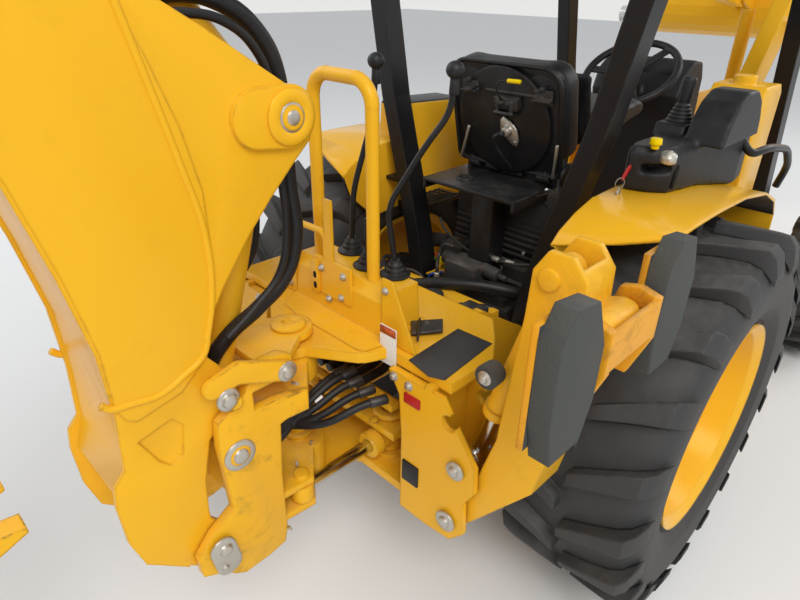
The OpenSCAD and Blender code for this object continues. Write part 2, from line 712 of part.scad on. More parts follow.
module loader_bucket() {
    color(yellow) at_axle() translate([loader_pin[0], 0, loader_pin[1]]) {
        difference() {
            union() {
                side(0, loader_bucket_w) bucket_section();
                both_sides() side(loader_bucket_w / 2 - bucket_plate / 2, bucket_plate)
                    polygon(concat(bucket_arc(256), [[802, -256], [800, -246], [640, -60], [425, 300], [406, 303]]));
            }
            for (y = [-750 : 300 : 750]) translate([770, y, -280]) cylinder(r = 9, h = 60);
        }
        both_sides() for (y = [arm_y - ear_y, arm_y + ear_y]) side(y, 16)
            polygon([[-42, -10], [-30, -34], [0, -44], [160, -90], [165, 90], [200, 185], [130, 200],
                [92, 194], [72, 160], [-30, 34]]);
        both_sides() pin_y([0, 0], 24, arm_y - ear_y - 12, arm_y + ear_y + 12);
        both_sides() for (s = [-1, 1]) translate([0, arm_y + s * (ear_y + 10), 0])
            pin_y(tilt_lug_local, 22, -8, 8);
    }
}

// Arc of the bucket's back from the floor to the top, about its own centre.
function bucket_arc(r) = [for (a = [120 : 15 : 270]) [400 + r * cos(a), r * sin(a)]];

module bucket_section() {
    back = bucket_arc(250);
    outer = bucket_arc(250 + bucket_plate);
    polygon(concat([[410, 300], [402, 306]], [for (i = [0 : 10]) outer[i]], [[830, -250 - bucket_plate],
        [830, -250 - bucket_plate + 3], [790, -250]], [for (i = [10 : -1 : 0]) back[i]]));
}

// Backhoe

casting_half = 158;
casting_t = 24;

module swing_casting() {
    color(yellow) at_axle() {
        both_sides() side(casting_half - casting_t / 2, casting_t) difference() {
            polygon([[-1240, 690], [-1252, 880], [-1246, 948], [-1216, 964], [-1181, 968], [-1181, 985],
                [-1152, 1030], [-1120, 1052], [-1072, 1052], [-1042, 1034], [-1042, 985], [-1154, 985],
                [-1154, 936], [-1098, 934], [-1045, 925], [-1045, 870], [-1090, 860], [-1100, 700],
                [-1100, 520], [-1112, 474], [-1160, 464], [-1234, 462], [-1262, 482], [-1284, 508],
                [-1340, 540], [-1345, 600], [-1300, 650]]);
            translate(boom_pivot) circle(20);
        }
        difference() {
            union() {
                translate([swing_x, 0, 860]) cylinder(r = 70, h = top_deck_z - 860.3);
                translate([swing_x, 0, 530.3]) cylinder(r = 76, h = 110);
                // Plates above and below the swing rods' eyes, the upper web and the clevis over the deck
                for (z = [540, 618]) translate([0, 0, z]) linear_extrude(22) casting_web();
                translate([0, 0, 865]) linear_extrude(60) casting_web();
                translate([0, 0, 986]) linear_extrude(20) clevis_plate();
                translate([-1160, -casting_half + 1, 545]) cube([22, 2 * casting_half - 2, 235]);
            }
            translate([swing_x, 0, 400]) cylinder(r = 10, h = 700);
        }
        translate([swing_x, 0, 480]) cylinder(r = kingpin_r, h = 530);
        for (z = [530, 639]) both_sides() translate([swing_eye[0], swing_eye[1], z]) cylinder(r = 20, h = 11);
        pin_y(boom_pivot, 28, -casting_half - 8, casting_half + 8);
        pin_y(boom_base, 26, -casting_half - 6, casting_half + 6);
        both_sides() side(casting_half + 10, 14) difference() {
            union() {
                bar2d(lock_pivot, lock_pivot + [-120, 52], 24, 26);
                bar2d(lock_pivot + [-120, 52], lock_pivot + [-180, 40], 26, 24);
            }
            translate(lock_pin) circle(30);
        }
        both_sides() pin_y(lock_pivot, 14, casting_half - 4, casting_half + 22);
    }
}

module clevis_plate() {
    translate([swing_x, 0]) circle(62);
    polygon([[-1096, casting_half - 22], [-1046, casting_half - 22], [swing_x - 6, 60], [swing_x - 6, -60],
        [-1046, 22 - casting_half], [-1096, 22 - casting_half]]);
}

module casting_web() {
    polygon([[-1150, casting_half - 2], [-1100, casting_half - 2], [-1010, casting_half + 6], [-930, 60],
        [-930, -60], [-1010, -6 - casting_half], [-1100, 2 - casting_half], [-1150, 2 - casting_half],
        [-1130, -60], [-1130, 60]]);
}

module swing_barrel_left() {
    color(yellow) at_axle() swing_barrel();
}
module swing_barrel_right() {
    color(yellow) at_axle() mirror([0, 1, 0]) swing_barrel();
}

// Barrel held near its gland in a trunnion, running forward inside the frame.
module swing_barrel() {
    aim([trunnion[0], trunnion[1], swing_z], [swing_eye[0], swing_eye[1], swing_z], [0, 0, 1]) difference() {
        union() {
            translate([-290, 0, 0]) rotate([0, 90, 0]) cylinder(r = small_barrel_r, h = 375);
            translate([55, 0, 0]) rotate([0, 90, 0]) cylinder(r = small_barrel_r + 4, h = 34);
            rotate([90, 0, 0]) cylinder(r = trunnion_r, h = 134, center = true);
        }
        translate([-276, 0, 0]) rotate([0, 90, 0]) cylinder(r = small_rod_r + rod_gap, h = 400);
    }
}

module swing_rod() {
    length = norm(trunnion - swing_eye);
    aim([trunnion[0], trunnion[1], swing_z], [swing_eye[0], swing_eye[1], swing_z], [0, 0, 1]) {
        translate([-105, 0, 0]) rotate([0, 90, 0]) cylinder(r = small_rod_r, h = length + 105);
        translate([length, 0, 0]) rotate([90, 0, 0]) cylinder(r = 32, h = 50, center = true);
    }
}

module swing_rod_left() { color(steel) at_axle() swing_rod(); }
module swing_rod_right() { color(steel) at_axle() mirror([0, 1, 0]) swing_rod(); }

// Side outline of the boom, then its raised doublers and hollow middle.
boom_outline = [[-1359, 568], [-1447, 655], [-1469, 737], [-1474, 844], [-1467, 895], [-1441, 925],
    [-1434, 1054], [-1439, 1200], [-1467, 1363], [-1505, 1534], [-1570, 1740], [-1680, 1990], [-1800, 2240],
    [-1880, 2400], [-1885, 2450], [-1850, 2510], [-1790, 2525], [-1730, 2490], [-1700, 2400],
    [-1560, 2120], [-1430, 1900], [-1350, 1830], [-1213, 1769], [-1150, 1731], [-1060, 1670], [-988, 1624],
    [-936, 1600], [-920, 1561], [-935, 1506], [-974, 1471], [-1045, 1401], [-1100, 1340], [-1170, 1250],
    [-1215, 1180], [-1233, 1104], [-1211, 1074], [-1178, 1030], [-1170, 989], [-1178, 955], [-1192, 943],
    [-1257, 895], [-1282, 793], [-1288, 697], [-1284, 640]];

// Raised skin behind the step in the boom's side, and the shallow recess below it.
boom_pad = [[-1236, 1112], [-1207, 1229], [-1190, 1354], [-1190, 1452], [-1215, 1571], [-1256, 1693],
    [-1292, 1770], [-1400, 1865], [-1520, 2020], [-1660, 1965], [-1562, 1732], [-1497, 1530], [-1459, 1363],
    [-1432, 1200], [-1430, 1078], [-1417, 1044], [-1396, 1029], [-1300, 1049], [-1244, 1098]];
boom_recess = [[-1404, 978], [-1329, 996], [-1307, 967], [-1320, 892], [-1349, 880], [-1371, 906]];
boom_recess_back = [[-1412, 984], [-1325, 1004], [-1299, 969], [-1314, 886], [-1351, 872], [-1379, 904]];

module boom() {
    color(yellow) at_axle() difference() {
        union() {
            both_sides() side(boom_half - boom_plate / 2, boom_plate) difference() {
                union() {
                    polygon(boom_outline);
                    bar2d(boom_pivot, [-1380, 690], 56, 66);
                }
                translate(boom_pivot) circle(28 + pin_gap);
                polygon(boom_recess);
            }
            both_sides() side(boom_half - boom_plate / 2 - 3, boom_plate - 6) polygon(boom_recess_back);
            both_sides() side(boom_half + 1, 6) polygon(boom_pad);
            // Rear and front plates of the box between the sides
            side(0, 2 * boom_half - 2 * boom_plate) polygon([[-1425, 700], [-1460, 850], [-1434, 925],
                [-1428, 1054], [-1432, 1200], [-1460, 1363], [-1498, 1534], [-1562, 1740], [-1672, 1990],
                [-1790, 2240], [-1840, 2340], [-1770, 2340], [-1640, 1990], [-1530, 1740], [-1466, 1534],
                [-1430, 1363], [-1404, 1200], [-1404, 925], [-1420, 700]]);
            side(0, 2 * boom_half - 2 * boom_plate) polygon([[-1225, 1090], [-1260, 1200], [-1215, 1420],
                [-1240, 1571], [-1320, 1770], [-1480, 1990], [-1640, 2290], [-1620, 2300], [-1560, 2180],
                [-1440, 1960], [-1290, 1790], [-1212, 1571], [-1195, 1420], [-1205, 1250], [-1218, 1150]]);
            side(0, 2 * boom_half - 2 * boom_plate) polygon([[-1400, 950], [-1230, 1090], [-1230, 1130],
                [-1405, 1000]]);
            both_sides() side(boom_half + 6, 12) bar2d(ear_pivot, ear_pivot + [-72, 4], 62, 56);
            both_sides() pin_y(ear_pivot, 25, 39, boom_half + 22);
            both_sides() pin_y(lock_pin, 16, boom_half - boom_plate, boom_half + 48);
            pin_y(tip_pivot, 30, -boom_half - 16, boom_half + 16);
        }
    }
}

boom_cyl_len = norm(ear_pivot - boom_base);

module boom_barrel() {
    color(yellow) at_axle() difference() {
        aim(xz(boom_base, 0), xz(ear_pivot, 0), [0, 1, 0])
            barrel(650, hoe_barrel_r, hoe_rod_r, 46, 84, 26);
    }
}

module boom_rod() {
    color(steel) at_axle() aim(xz(boom_base, 0), xz(ear_pivot, 0), [0, 1, 0]) {
        translate([90, 0, 0]) rotate([0, 90, 0]) cylinder(r = hoe_rod_r, h = boom_cyl_len - 90);
        translate([boom_cyl_len, 0, 0]) rotate([90, 0, 0]) cylinder(r = 42, h = 70, center = true);
    }
}

module dipper_barrel() {
    color(yellow) at_axle() aim(xz(ear_pivot, 0), xz(dipper_lug, 0), [0, 1, 0]) difference() {
        union() {
            barrel(880, hoe_barrel_r, hoe_rod_r, 48, 164, 25, 30);
            translate([70, 0, 0]) cube([30, 164, 84], center = true);
        }
        rotate([90, 0, 0]) cylinder(r = 58, h = 76, center = true);
    }
}

dipper_cyl_len = norm(dipper_lug - ear_pivot);

module dipper_rod() {
    color(steel) at_axle() aim(xz(ear_pivot, 0), xz(dipper_lug, 0), [0, 1, 0]) {
        translate([540, 0, 0]) rotate([0, 90, 0]) cylinder(r = hoe_rod_r, h = dipper_cyl_len - 540);
        translate([dipper_cyl_len, 0, 0]) rotate([90, 0, 0]) cylinder(r = 40, h = 70, center = true);
    }
}

module dipper() {
    color(yellow) at_axle() {
        difference() {
            union() {
                side(0, 2 * dipper_half) polygon([[-1865, 2350], [-1740, 2400], [-1730, 2450],
                    [-1880, 2500], [-1945, 2420], [-1965, 2330], [-2130, 1390], [-2040, 1340],
                    [-1990, 1480]]);
                side(0, 2 * dipper_half) bar2d(tip_pivot, dipper_lug, 74, 48);
                pin_y(bucket_pivot, 56, -dipper_half, dipper_half);
            }
            pin_y(tip_pivot, 30 + pin_gap, -200, 200);
            side(0, 84) polygon([[-2000, 2522], [-1790, 2522], [-1700, 2440], [-1600, 2440], [-1600, 2800],
                [-2000, 2800]]);
            pin_y(bucket_pivot, 24 + pin_gap, -200, 200);
            pin_y(lever_pivot, 20 + pin_gap, -200, 200);
        }
        both_sides() pin_y(dipper_lug, 25, dipper_half - 10, dipper_half + 12);
        both_sides() side(48, 16) bar2d(hoe_cyl_base, hoe_cyl_base + [70, -20], 44, 60);
        pin_y(hoe_cyl_base, 20, -62, 62);
    }
}

hoe_cyl_len = norm(lever_end - hoe_cyl_base);

module hoe_bucket_barrel() {
    color(yellow) at_axle() aim(xz(hoe_cyl_base, 0), xz(lever_end, 0), [0, 1, 0])
        barrel(526, 36, 21, 34, 68, 20);
}

module hoe_bucket_rod() {
    color(steel) at_axle() aim(xz(hoe_cyl_base, 0), xz(lever_end, 0), [0, 1, 0]) {
        translate([376, 0, 0]) rotate([0, 90, 0]) cylinder(r = 21, h = hoe_cyl_len - 376);
        translate([hoe_cyl_len, 0, 0]) rotate([90, 0, 0]) cylinder(r = 36, h = 60, center = true);
    }
}

// Pair of levers from the dipper to the cylinder's eye.
module bucket_levers() {
    color(yellow) at_axle() {
        both_sides() side(lever_y, 16) bar2d(lever_pivot, lever_end, 34, 34);
        both_sides() pin_y(lever_end, 28, 36, lever_y);
        both_sides() pin_y(lever_end, 20, lever_y, lever_y + 34);
        pin_y(lever_pivot, 20, -lever_y - 14, lever_y + 14);
    }
}

lever_y = dipper_half + side_gap + 8;
link_y = lever_y + 8 + side_gap + 8;
hoe_ear_y = link_y + 8 + side_gap + 10;

module bucket_link() {
    color(yellow) at_axle() both_sides() side(link_y, 16) difference() {
        bar2d(lever_end, link_pivot, 34, 34);
        translate(lever_end) circle(20 + pin_gap);
    }
}

// Backhoe bucket, curled with its teeth forward.
module hoe_bucket() {
    inner = hoe_bucket_w / 2 - 12;
    color(yellow) at_axle() {
        side(0, hoe_bucket_w - 24) difference() {
            bowl_outline(0);
            bowl_outline(14);
        }
        both_sides() side(hoe_bucket_w / 2 - 6, 12) bowl_outline(-3);
        // Ears that hold the dipper and link pins
        both_sides() side(hoe_ear_y, 20) polygon([[-2050, 1412], [-2085, 1424], [-2120, 1405], [-2226, 1265],
            [-2230, 1215], [-2190, 1190], [-2150, 1160], [-2042, 1290], [-2036, 1380]]);
        both_sides() pin_y(bucket_pivot, 40, dipper_half + side_gap, hoe_ear_y);
        pin_y(bucket_pivot, 24, -hoe_ear_y - 18, hoe_ear_y + 18);
        both_sides() pin_y(link_pivot, 22, hoe_ear_y, hoe_ear_y + 20);
        for (i = [0 : hoe_teeth - 1]) {
            y = -inner + 22 + i * (2 * inner - 44) / (hoe_teeth - 1);
            side(y, 44) polygon([[-1770, 955], [-1770, 1000], [-1690, 998], [-1630, 990], [-1630, 980],
                [-1700, 950]]);
        }
    }
}

// Side view of the bowl, drawn in by t from the floor, back and top but open at the mouth.
module bowl_outline(t) {
    polygon(concat([[-1735 + t * 3, 988 + t * 3], [-1735 + t * 3, 962 + t], [-2030, 925 + t]],
        [for (a = [265 : -17 : 180]) [-2018 + (150 - t) * cos(a), 1075 + (150 - t) * sin(a)]],
        [[-2165 + t, 1155 - t * 0.3], [-2040 + t * 0.3, 1302 - t], [-2030 + t * 3, 1298 + t * 3]]));
}

// Stabilizers

module leg() {
    color(yellow) {
        difference() {
            union() {
                cross(leg_x - leg_w / 2, leg_w) polygon([[430, 540], [480, 530], [520, 586], [681, 802],
                    [729, 1063], [722, 1335], [690, 1375], [640, 1375], [612, 1330], [607, 1228], [575, 893],
                    [520, 700], [430, 608]]);
                cross(leg_x - leg_w / 2, leg_w) bar2d([690, 1200], pad_pivot, 60, 35);
            }
            pin_x(leg_pivot, 24 + pin_gap, leg_x - 200, leg_x + 200);
            cross(leg_x - 40, 80) bar2d(leg_cyl_base, leg_cyl_base - [0, 100], 70, 70);
            cross(leg_x - 40, 80) bar2d(leg_cyl_base, leg_cyl_eye, 60, 52);
            cross(leg_x - 40, 80) polygon([[leg_cyl_eye[0] - 60, leg_cyl_eye[1] - 20], [560, 1500], [720, 1500],
                [leg_cyl_eye[0] + 52, leg_cyl_eye[1]]]);
        }
        pin_x(pad_pivot, 20, leg_x - 108, leg_x + 108);
        for (x = [leg_x - leg_w / 2 - 8, leg_x + leg_w / 2 - 1]) pin_x(leg_cyl_eye, 22, x, x + 9);
    }
}

module stabilizer_left() { at_axle() leg(); }
module stabilizer_right() { at_axle() mirror([0, 1, 0]) leg(); }

// Pad frame with two rubber blocks, hung from the leg's end.
module pad() {
    color(yellow) {
        for (x = [leg_x - 100, leg_x + 80]) cross(x, 20) difference() {
            polygon([[718, 1180], [708, 1230], [726, 1290], [762, 1300], [804, 1288], [804, 1200], [770, 1108],
                [730, 1108]]);
            translate(pad_pivot) circle(20 + pin_gap);
        }
        translate([leg_x - 99, 792, 1204]) cube([198, 12, 80]);
        for (s = [-1, 1]) {
            translate([leg_x + s * 171 - 91, 744, 1108]) cube([182, 14, 56]);
            translate([leg_x + s * 189 - 73, 744, 1108]) cube([146, 14, 244]);
        }
    }
    color(rubber_grey) for (s = [-1, 1])
        translate([leg_x + s * 189, 800, 1235]) rotate([90, 0, 0]) linear_extrude(41.7)
            polygon([[-52, -148], [44, -150], [72, -70], [74, 40], [30, 138], [-40, 148], [-74, 96], [-72, -60]]);
}

module stabilizer_pad_left() { at_axle() pad(); }
module stabilizer_pad_right() { at_axle() mirror([0, 1, 0]) pad(); }

leg_cyl_len = norm(leg_cyl_eye - leg_cyl_base);

module leg_barrel(s) {
    color(yellow) aim([leg_x, s * leg_cyl_base[0], leg_cyl_base[1]], [leg_x, s * leg_cyl_eye[0], leg_cyl_eye[1]],
        [1, 0, 0]) rotate([0, 0, 180]) translate([-leg_cyl_len, 0, 0])
            barrel(420, 30, small_rod_r, 32, 54, 17);
}

module leg_rod(s) {
    color(steel) aim([leg_x, s * leg_cyl_base[0], leg_cyl_base[1]], [leg_x, s * leg_cyl_eye[0], leg_cyl_eye[1]],
        [1, 0, 0]) {
            rotate([0, 90, 0]) cylinder(r = small_rod_r, h = leg_cyl_len - 60);
            rotate([90, 0, 0]) cylinder(r = 30, h = 60, center = true);
            rotate([90, 0, 0]) cylinder(r = 20, h = leg_w + 7.4, center = true);
    }
}

module stabilizer_barrel_left() { at_axle() leg_barrel(1); }
module stabilizer_barrel_right() { at_axle() leg_barrel(-1); }
module stabilizer_rod_left() { at_axle() leg_rod(1); }
module stabilizer_rod_right() { at_axle() leg_rod(-1); }

hose_r = 13;

module hydraulic_hoses() {
    z = clamp_z + hose_r + 0.3;
    color(black) at_axle() for (i = [0 : 4])
        tube([[-502.3, -100 + 44 * i, 875], [-570, -100 + 44 * i, 875], [-680, -90 + 40 * i, z],
            [-790, -90 + 40 * i, z]], hose_r, 60);
}

main_frame();
rear_axle();
front_axle();
engine_block();
knuckle_left();
knuckle_right();
rim_rear_left();
rim_rear_right();
rim_front_left();
rim_front_right();
tyre_rear_left();
tyre_rear_right();
tyre_front_left();
tyre_front_right();
hood();
fender_left();
fender_right();
side_console();
hydraulic_tank();
dashboard();
steering_wheel();
seat_base();
seat();
canopy_posts();
canopy_roof();
control_tower();
control_levers();
loader_frame();
loader_arms();
loader_bucket();
lift_barrels();
lift_rods();
tilt_barrels();
tilt_rods();
swing_casting();
swing_barrel_left();
swing_barrel_right();
swing_rod_left();
swing_rod_right();
boom();
boom_barrel();
boom_rod();
dipper();
dipper_barrel();
dipper_rod();
hoe_bucket();
hoe_bucket_barrel();
hoe_bucket_rod();
bucket_levers();
bucket_link();
stabilizer_left();
stabilizer_right();
stabilizer_pad_left();
stabilizer_pad_right();
stabilizer_barrel_left();
stabilizer_barrel_right();
stabilizer_rod_left();
stabilizer_rod_right();
hydraulic_hoses();
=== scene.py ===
import math
import bpy
from mathutils import Matrix, Vector


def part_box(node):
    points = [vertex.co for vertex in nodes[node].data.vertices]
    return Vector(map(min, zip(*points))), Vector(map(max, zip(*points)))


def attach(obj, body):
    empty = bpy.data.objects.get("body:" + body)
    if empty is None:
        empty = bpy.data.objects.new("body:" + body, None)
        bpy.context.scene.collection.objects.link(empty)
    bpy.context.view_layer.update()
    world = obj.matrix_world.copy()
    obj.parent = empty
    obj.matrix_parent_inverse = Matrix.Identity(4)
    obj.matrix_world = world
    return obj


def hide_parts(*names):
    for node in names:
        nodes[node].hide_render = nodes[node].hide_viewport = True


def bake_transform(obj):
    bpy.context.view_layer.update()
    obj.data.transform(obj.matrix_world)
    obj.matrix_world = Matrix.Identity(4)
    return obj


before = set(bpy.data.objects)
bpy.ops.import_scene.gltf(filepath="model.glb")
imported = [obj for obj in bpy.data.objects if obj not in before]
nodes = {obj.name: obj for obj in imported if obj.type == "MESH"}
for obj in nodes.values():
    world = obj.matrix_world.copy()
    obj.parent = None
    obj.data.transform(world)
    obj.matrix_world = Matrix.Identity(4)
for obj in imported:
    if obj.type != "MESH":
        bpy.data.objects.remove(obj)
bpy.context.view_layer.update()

# Where the photographer stood: close behind the right rear corner, a little above the fender,
# with a wide lens turned 44 degrees to the left of straight ahead and tipped down 28 degrees.
# Places are in millimetres from the point on the ground under the rear axle, as in the CAD source.
low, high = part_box("rim_rear_right")
axle_x = (low[0] + high[0]) / 2


def at(x, y, z):
    return Vector((x / 1000 + axle_x, y / 1000, z / 1000))


eye = at(-1703, -1145.3, 1804.9)
lens_px, frame_px, film_mm = 601.4, 800, 36
yaw, pitch, roll = 0.77137, 0.49123, 0.01559
ahead = Vector((math.cos(pitch) * math.cos(yaw), math.cos(pitch) * math.sin(yaw), -math.sin(pitch)))
camera = bpy.data.objects.new("camera", bpy.data.cameras.new("camera"))
bpy.context.scene.collection.objects.link(camera)
camera.data.sensor_width = film_mm
camera.data.lens = film_mm * lens_px / frame_px
camera.data.clip_start = 0.05
camera.location = eye
camera.rotation_mode = "QUATERNION"
camera.rotation_quaternion = ahead.to_track_quat("-Z", "Y") @ Matrix.Rotation(roll, 3, "Z").to_quaternion()
bpy.context.scene.camera = camera
bpy.context.scene.view_settings.view_transform = "Standard"

# Pale studio floor and soft light: one large lamp high on the photographer's side, weaker ones from
# the left and from in front, and an even surround. The camera and glossy paint see its pale colour.
backdrop = (0.80, 0.80, 0.79, 1)
sky, sky_strength = (0.93, 0.96, 1.0, 1), 0.62
middle = Vector((-0.6, 0, 0.9))
lamps = {"key": ((-4.5, -5.0, 7.0), 430, 4.0, (1.0, 0.98, 0.95)),
         "fill": ((-3.0, 6.0, 5.0), 130, 5.0, (0.92, 0.96, 1.0)),
         "front": ((6.0, -3.0, 5.0), 140, 4.0, (1.0, 0.99, 0.97))}


def add(tree, kind, links=(), **values):
    """A node with its settings; an input is linked where it is given a socket."""
    node = tree.nodes.new(kind)
    for key, value in values.items():
        setattr(node, key, value)
    for key, value in links:
        if isinstance(value, bpy.types.NodeSocket):
            tree.links.new(value, node.inputs[key])
        else:
            node.inputs[key].default_value = value
    return node


def math_node(tree, operation, a, b):
    return add(tree, "ShaderNodeMath", [(0, a), (1, b)], operation=operation, use_clamp=True).outputs[0]


world = bpy.data.worlds.new("studio")
bpy.context.scene.world = world
world.use_nodes = True
wt = world.node_tree
wt.nodes.clear()
path = add(wt, "ShaderNodeLightPath").outputs
seen = path["Is Camera Ray"]
for ray in ("Is Glossy Ray", "Is Transmission Ray"):
    seen = math_node(wt, "ADD", seen, path[ray])
soft = add(wt, "ShaderNodeBackground", [("Color", sky), ("Strength", sky_strength)]).outputs[0]
pale = add(wt, "ShaderNodeBackground", [("Color", backdrop)]).outputs[0]
mixed = add(wt, "ShaderNodeMixShader", [(0, seen), (1, soft), (2, pale)]).outputs[0]
add(wt, "ShaderNodeOutputWorld", [("Surface", mixed)])
for name, (place, power, size, tint) in lamps.items():
    lamp = bpy.data.objects.new(name, bpy.data.lights.new(name, "AREA"))
    bpy.context.scene.collection.objects.link(lamp)
    lamp.data.energy, lamp.data.size, lamp.data.color = power, size, tint
    lamp.location = place
    lamp.rotation_euler = (middle - Vector(place)).to_track_quat("-Z", "Y").to_euler()
bpy.ops.object.select_all(action="DESELECT")
bpy.ops.mesh.primitive_grid_add(x_subdivisions=8, y_subdivisions=8, size=60, location=(0, 0, -0.002))
floor = bpy.context.object
floor.name = "studio_floor"
floor_mat = bpy.data.materials.new("studio_floor")
floor_mat.use_nodes = True
floor_shader = floor_mat.node_tree.nodes["Principled BSDF"]
floor_shader.inputs["Base Color"].default_value = backdrop
floor_shader.inputs["Roughness"].default_value = 0.85
floor.data.materials.append(floor_mat)

# Yellow gloss enamel over welded steel plate: the frame, boom, stabilizers and loader are sprayed
# in one colour. One node group of noises over any paint gives it scratches where parts rub, chips
# at its edges, grime, and dust on its upper faces.
rust, dry_dust = (0.13, 0.07, 0.04, 1), (0.42, 0.37, 0.30, 1)
grease = (0.16, 0.09, 0.035, 1)
bright_paint, warm_highlight = 0.7, (1.0, 0.80, 0.40, 1)
enamel = (0.84, 0.445, 0.018, 1)


def shader_group(name, inputs, outputs):
    tree = bpy.data.node_groups.new(name, "ShaderNodeTree")
    kinds = {"c": "NodeSocketColor", "f": "NodeSocketFloat", "v": "NodeSocketVector"}
    for label, kind, value in inputs:
        socket = tree.interface.new_socket(label, in_out="INPUT", socket_type=kinds[kind])
        socket.default_value = value
    for label, kind in outputs:
        tree.interface.new_socket(label, in_out="OUTPUT", socket_type=kinds[kind])
    return tree, tree.nodes.new("NodeGroupInput"), tree.nodes.new("NodeGroupOutput")


def noise(tree, place, scale, detail=3.0, rough=0.6, distort=0.0):
    grain = [("Vector", place), ("Scale", scale), ("Detail", detail), ("Roughness", rough),
             ("Distortion", distort)]
    return add(tree, "ShaderNodeTexNoise", grain).outputs["Fac"]


def ramp(tree, value, low, high):
    limits = [("Value", value), ("From Min", low), ("From Max", high)]
    return add(tree, "ShaderNodeMapRange", limits).outputs[0]


def blend_colour(tree, amount, a, b):
    return add(tree, "ShaderNodeMix", [(0, amount), (6, a), (7, b)], data_type="RGBA").outputs[2]


def times(a, b):
    return math_node(wear, "MULTIPLY", a, b)


# Group: rubbed and chipped edges, scratches, grime and dust over any painted colour.
wear, wear_in, wear_out = shader_group(
    "field_wear",
    [("Paint", "c", (0.8, 0.5, 0.05, 1)), ("Under", "c", (0.10, 0.06, 0.04, 1)),
     ("Dust", "c", dry_dust), ("Edge", "f", 0.5), ("Scratch", "f", 0.4),
     ("Grime", "f", 0.4), ("Dusty", "f", 0.4), ("Gloss", "f", 0.3)],
    [("Colour", "c"), ("Roughness", "f"), ("Height", "f"), ("Rounded", "v")])
level = wear_in.outputs
place = add(wear, "ShaderNodeTexCoord").outputs["Object"]
normal = add(wear, "ShaderNodeNewGeometry").outputs["Normal"]
rounded = add(wear, "ShaderNodeBevel", [("Radius", 0.008)], samples=4).outputs[0]
turn = add(wear, "ShaderNodeVectorMath", [(0, rounded), (1, normal)], operation="DOT_PRODUCT")
edge = ramp(wear, turn.outputs["Value"], 0.985, 0.86)
broken = ramp(wear, noise(wear, place, 30, 5, 0.72), 0.47, 0.58)
rubbed = ramp(wear, noise(wear, place, 1.9, 2, 0.6), 0.42, 0.58)
edge = times(times(edge, broken), times(rubbed, level["Edge"]))
streaks = add(wear, "ShaderNodeMapping",
              [("Vector", place), ("Scale", (3, 3, 60)), ("Rotation", (0.5, 0.35, 0))]).outputs[0]
lines = ramp(wear, noise(wear, streaks, 2.2, 6, 0.75, 0.6), 0.62, 0.67)
patch = ramp(wear, noise(wear, place, 2.3, 3, 0.6), 0.50, 0.64)
bare = math_node(wear, "MAXIMUM", edge, times(times(lines, patch), level["Scratch"]))
smear = times(ramp(wear, noise(wear, place, 6.5, 6, 0.75, 0.8), 0.54, 0.80), level["Grime"])
up = add(wear, "ShaderNodeSeparateXYZ", [(0, normal)]).outputs["Z"]
settled = times(ramp(wear, noise(wear, place, 9, 6, 0.7), 0.42, 0.80), ramp(wear, up, 0.3, 1.0))
settled = times(settled, level["Dusty"])
grimy = blend_colour(wear, smear, level["Paint"], grease)
dusty = blend_colour(wear, settled, grimy, level["Dust"])
rough = math_node(wear, "ADD", level["Gloss"], times(smear, 0.35))
matt = times(math_node(wear, "ADD", bare, settled), 0.4)
fine = noise(wear, place, 120, 3, 0.5)
for name, value in (("Colour", blend_colour(wear, bare, dusty, level["Under"])),
                    ("Roughness", math_node(wear, "ADD", rough, matt)),
                    ("Height", math_node(wear, "SUBTRACT", fine, times(bare, 0.8))), ("Rounded", rounded)):
    wear.links.new(value, wear_out.inputs[name])


def painted(name, paint, under=rust, edge=0.7, scratch=0.4, grime=0.4, dusty=0.3, gloss=0.26,
            bump=0.04, coat=0.0, metallic=0.0, dust=dry_dust):
    """A coated surface that wears; gloss is its roughness where it is clean."""
    mat = bpy.data.materials.new(name)
    mat.use_nodes = True
    tree = mat.node_tree
    shader = tree.nodes["Principled BSDF"]
    body = tree.nodes.new("ShaderNodeGroup")
    body.node_tree = wear
    for key, value in (("Paint", paint), ("Under", under), ("Dust", dust), ("Edge", edge),
                       ("Scratch", scratch), ("Grime", grime), ("Dusty", dusty), ("Gloss", gloss)):
        body.inputs[key].default_value = value
    tree.links.new(body.outputs["Colour"], shader.inputs["Base Color"])
    tree.links.new(body.outputs["Roughness"], shader.inputs["Roughness"])
    raised = add(tree, "ShaderNodeBump", [("Strength", bump), ("Distance", 0.002),
                                          ("Height", body.outputs["Height"]),
                                          ("Normal", body.outputs["Rounded"])])
    tree.links.new(raised.outputs[0], shader.inputs["Normal"])
    shader.inputs["Specular IOR Level"].default_value = 0.3
    if paint[0] > bright_paint:
        shader.inputs["Specular Tint"].default_value = warm_highlight
    shader.inputs["Coat Weight"].default_value = coat
    shader.inputs["Coat Roughness"].default_value = 0.10
    shader.inputs["Metallic"].default_value = metallic
    return mat


def dress(mat, *names):
    for name in names:
        part = nodes[name]
        if not part.material_slots:
            part.data.materials.append(None)
        for slot in part.material_slots:
            slot.link = "OBJECT"
            slot.material = mat


yellow = painted("yellow_enamel", enamel, grime=0.12, dusty=0.12, scratch=0.15, edge=0.4)
yellow_worn = painted("yellow_worked", enamel, edge=1.0, scratch=0.6, grime=0.35, dusty=0.25, gloss=0.30)
dress(yellow, "main_frame", "front_axle", "hood", "loader_frame", "loader_arms", "control_tower",
      "loader_bucket", "rim_rear_left", "rim_rear_right", "rim_front_left", "rim_front_right")
dress(yellow_worn, "dipper", "boom_barrel", "dipper_barrel", "hoe_bucket_barrel", "hoe_bucket",
      "bucket_levers", "bucket_link", "swing_barrel_left", "swing_barrel_right",
      "stabilizer_barrel_left", "stabilizer_barrel_right")

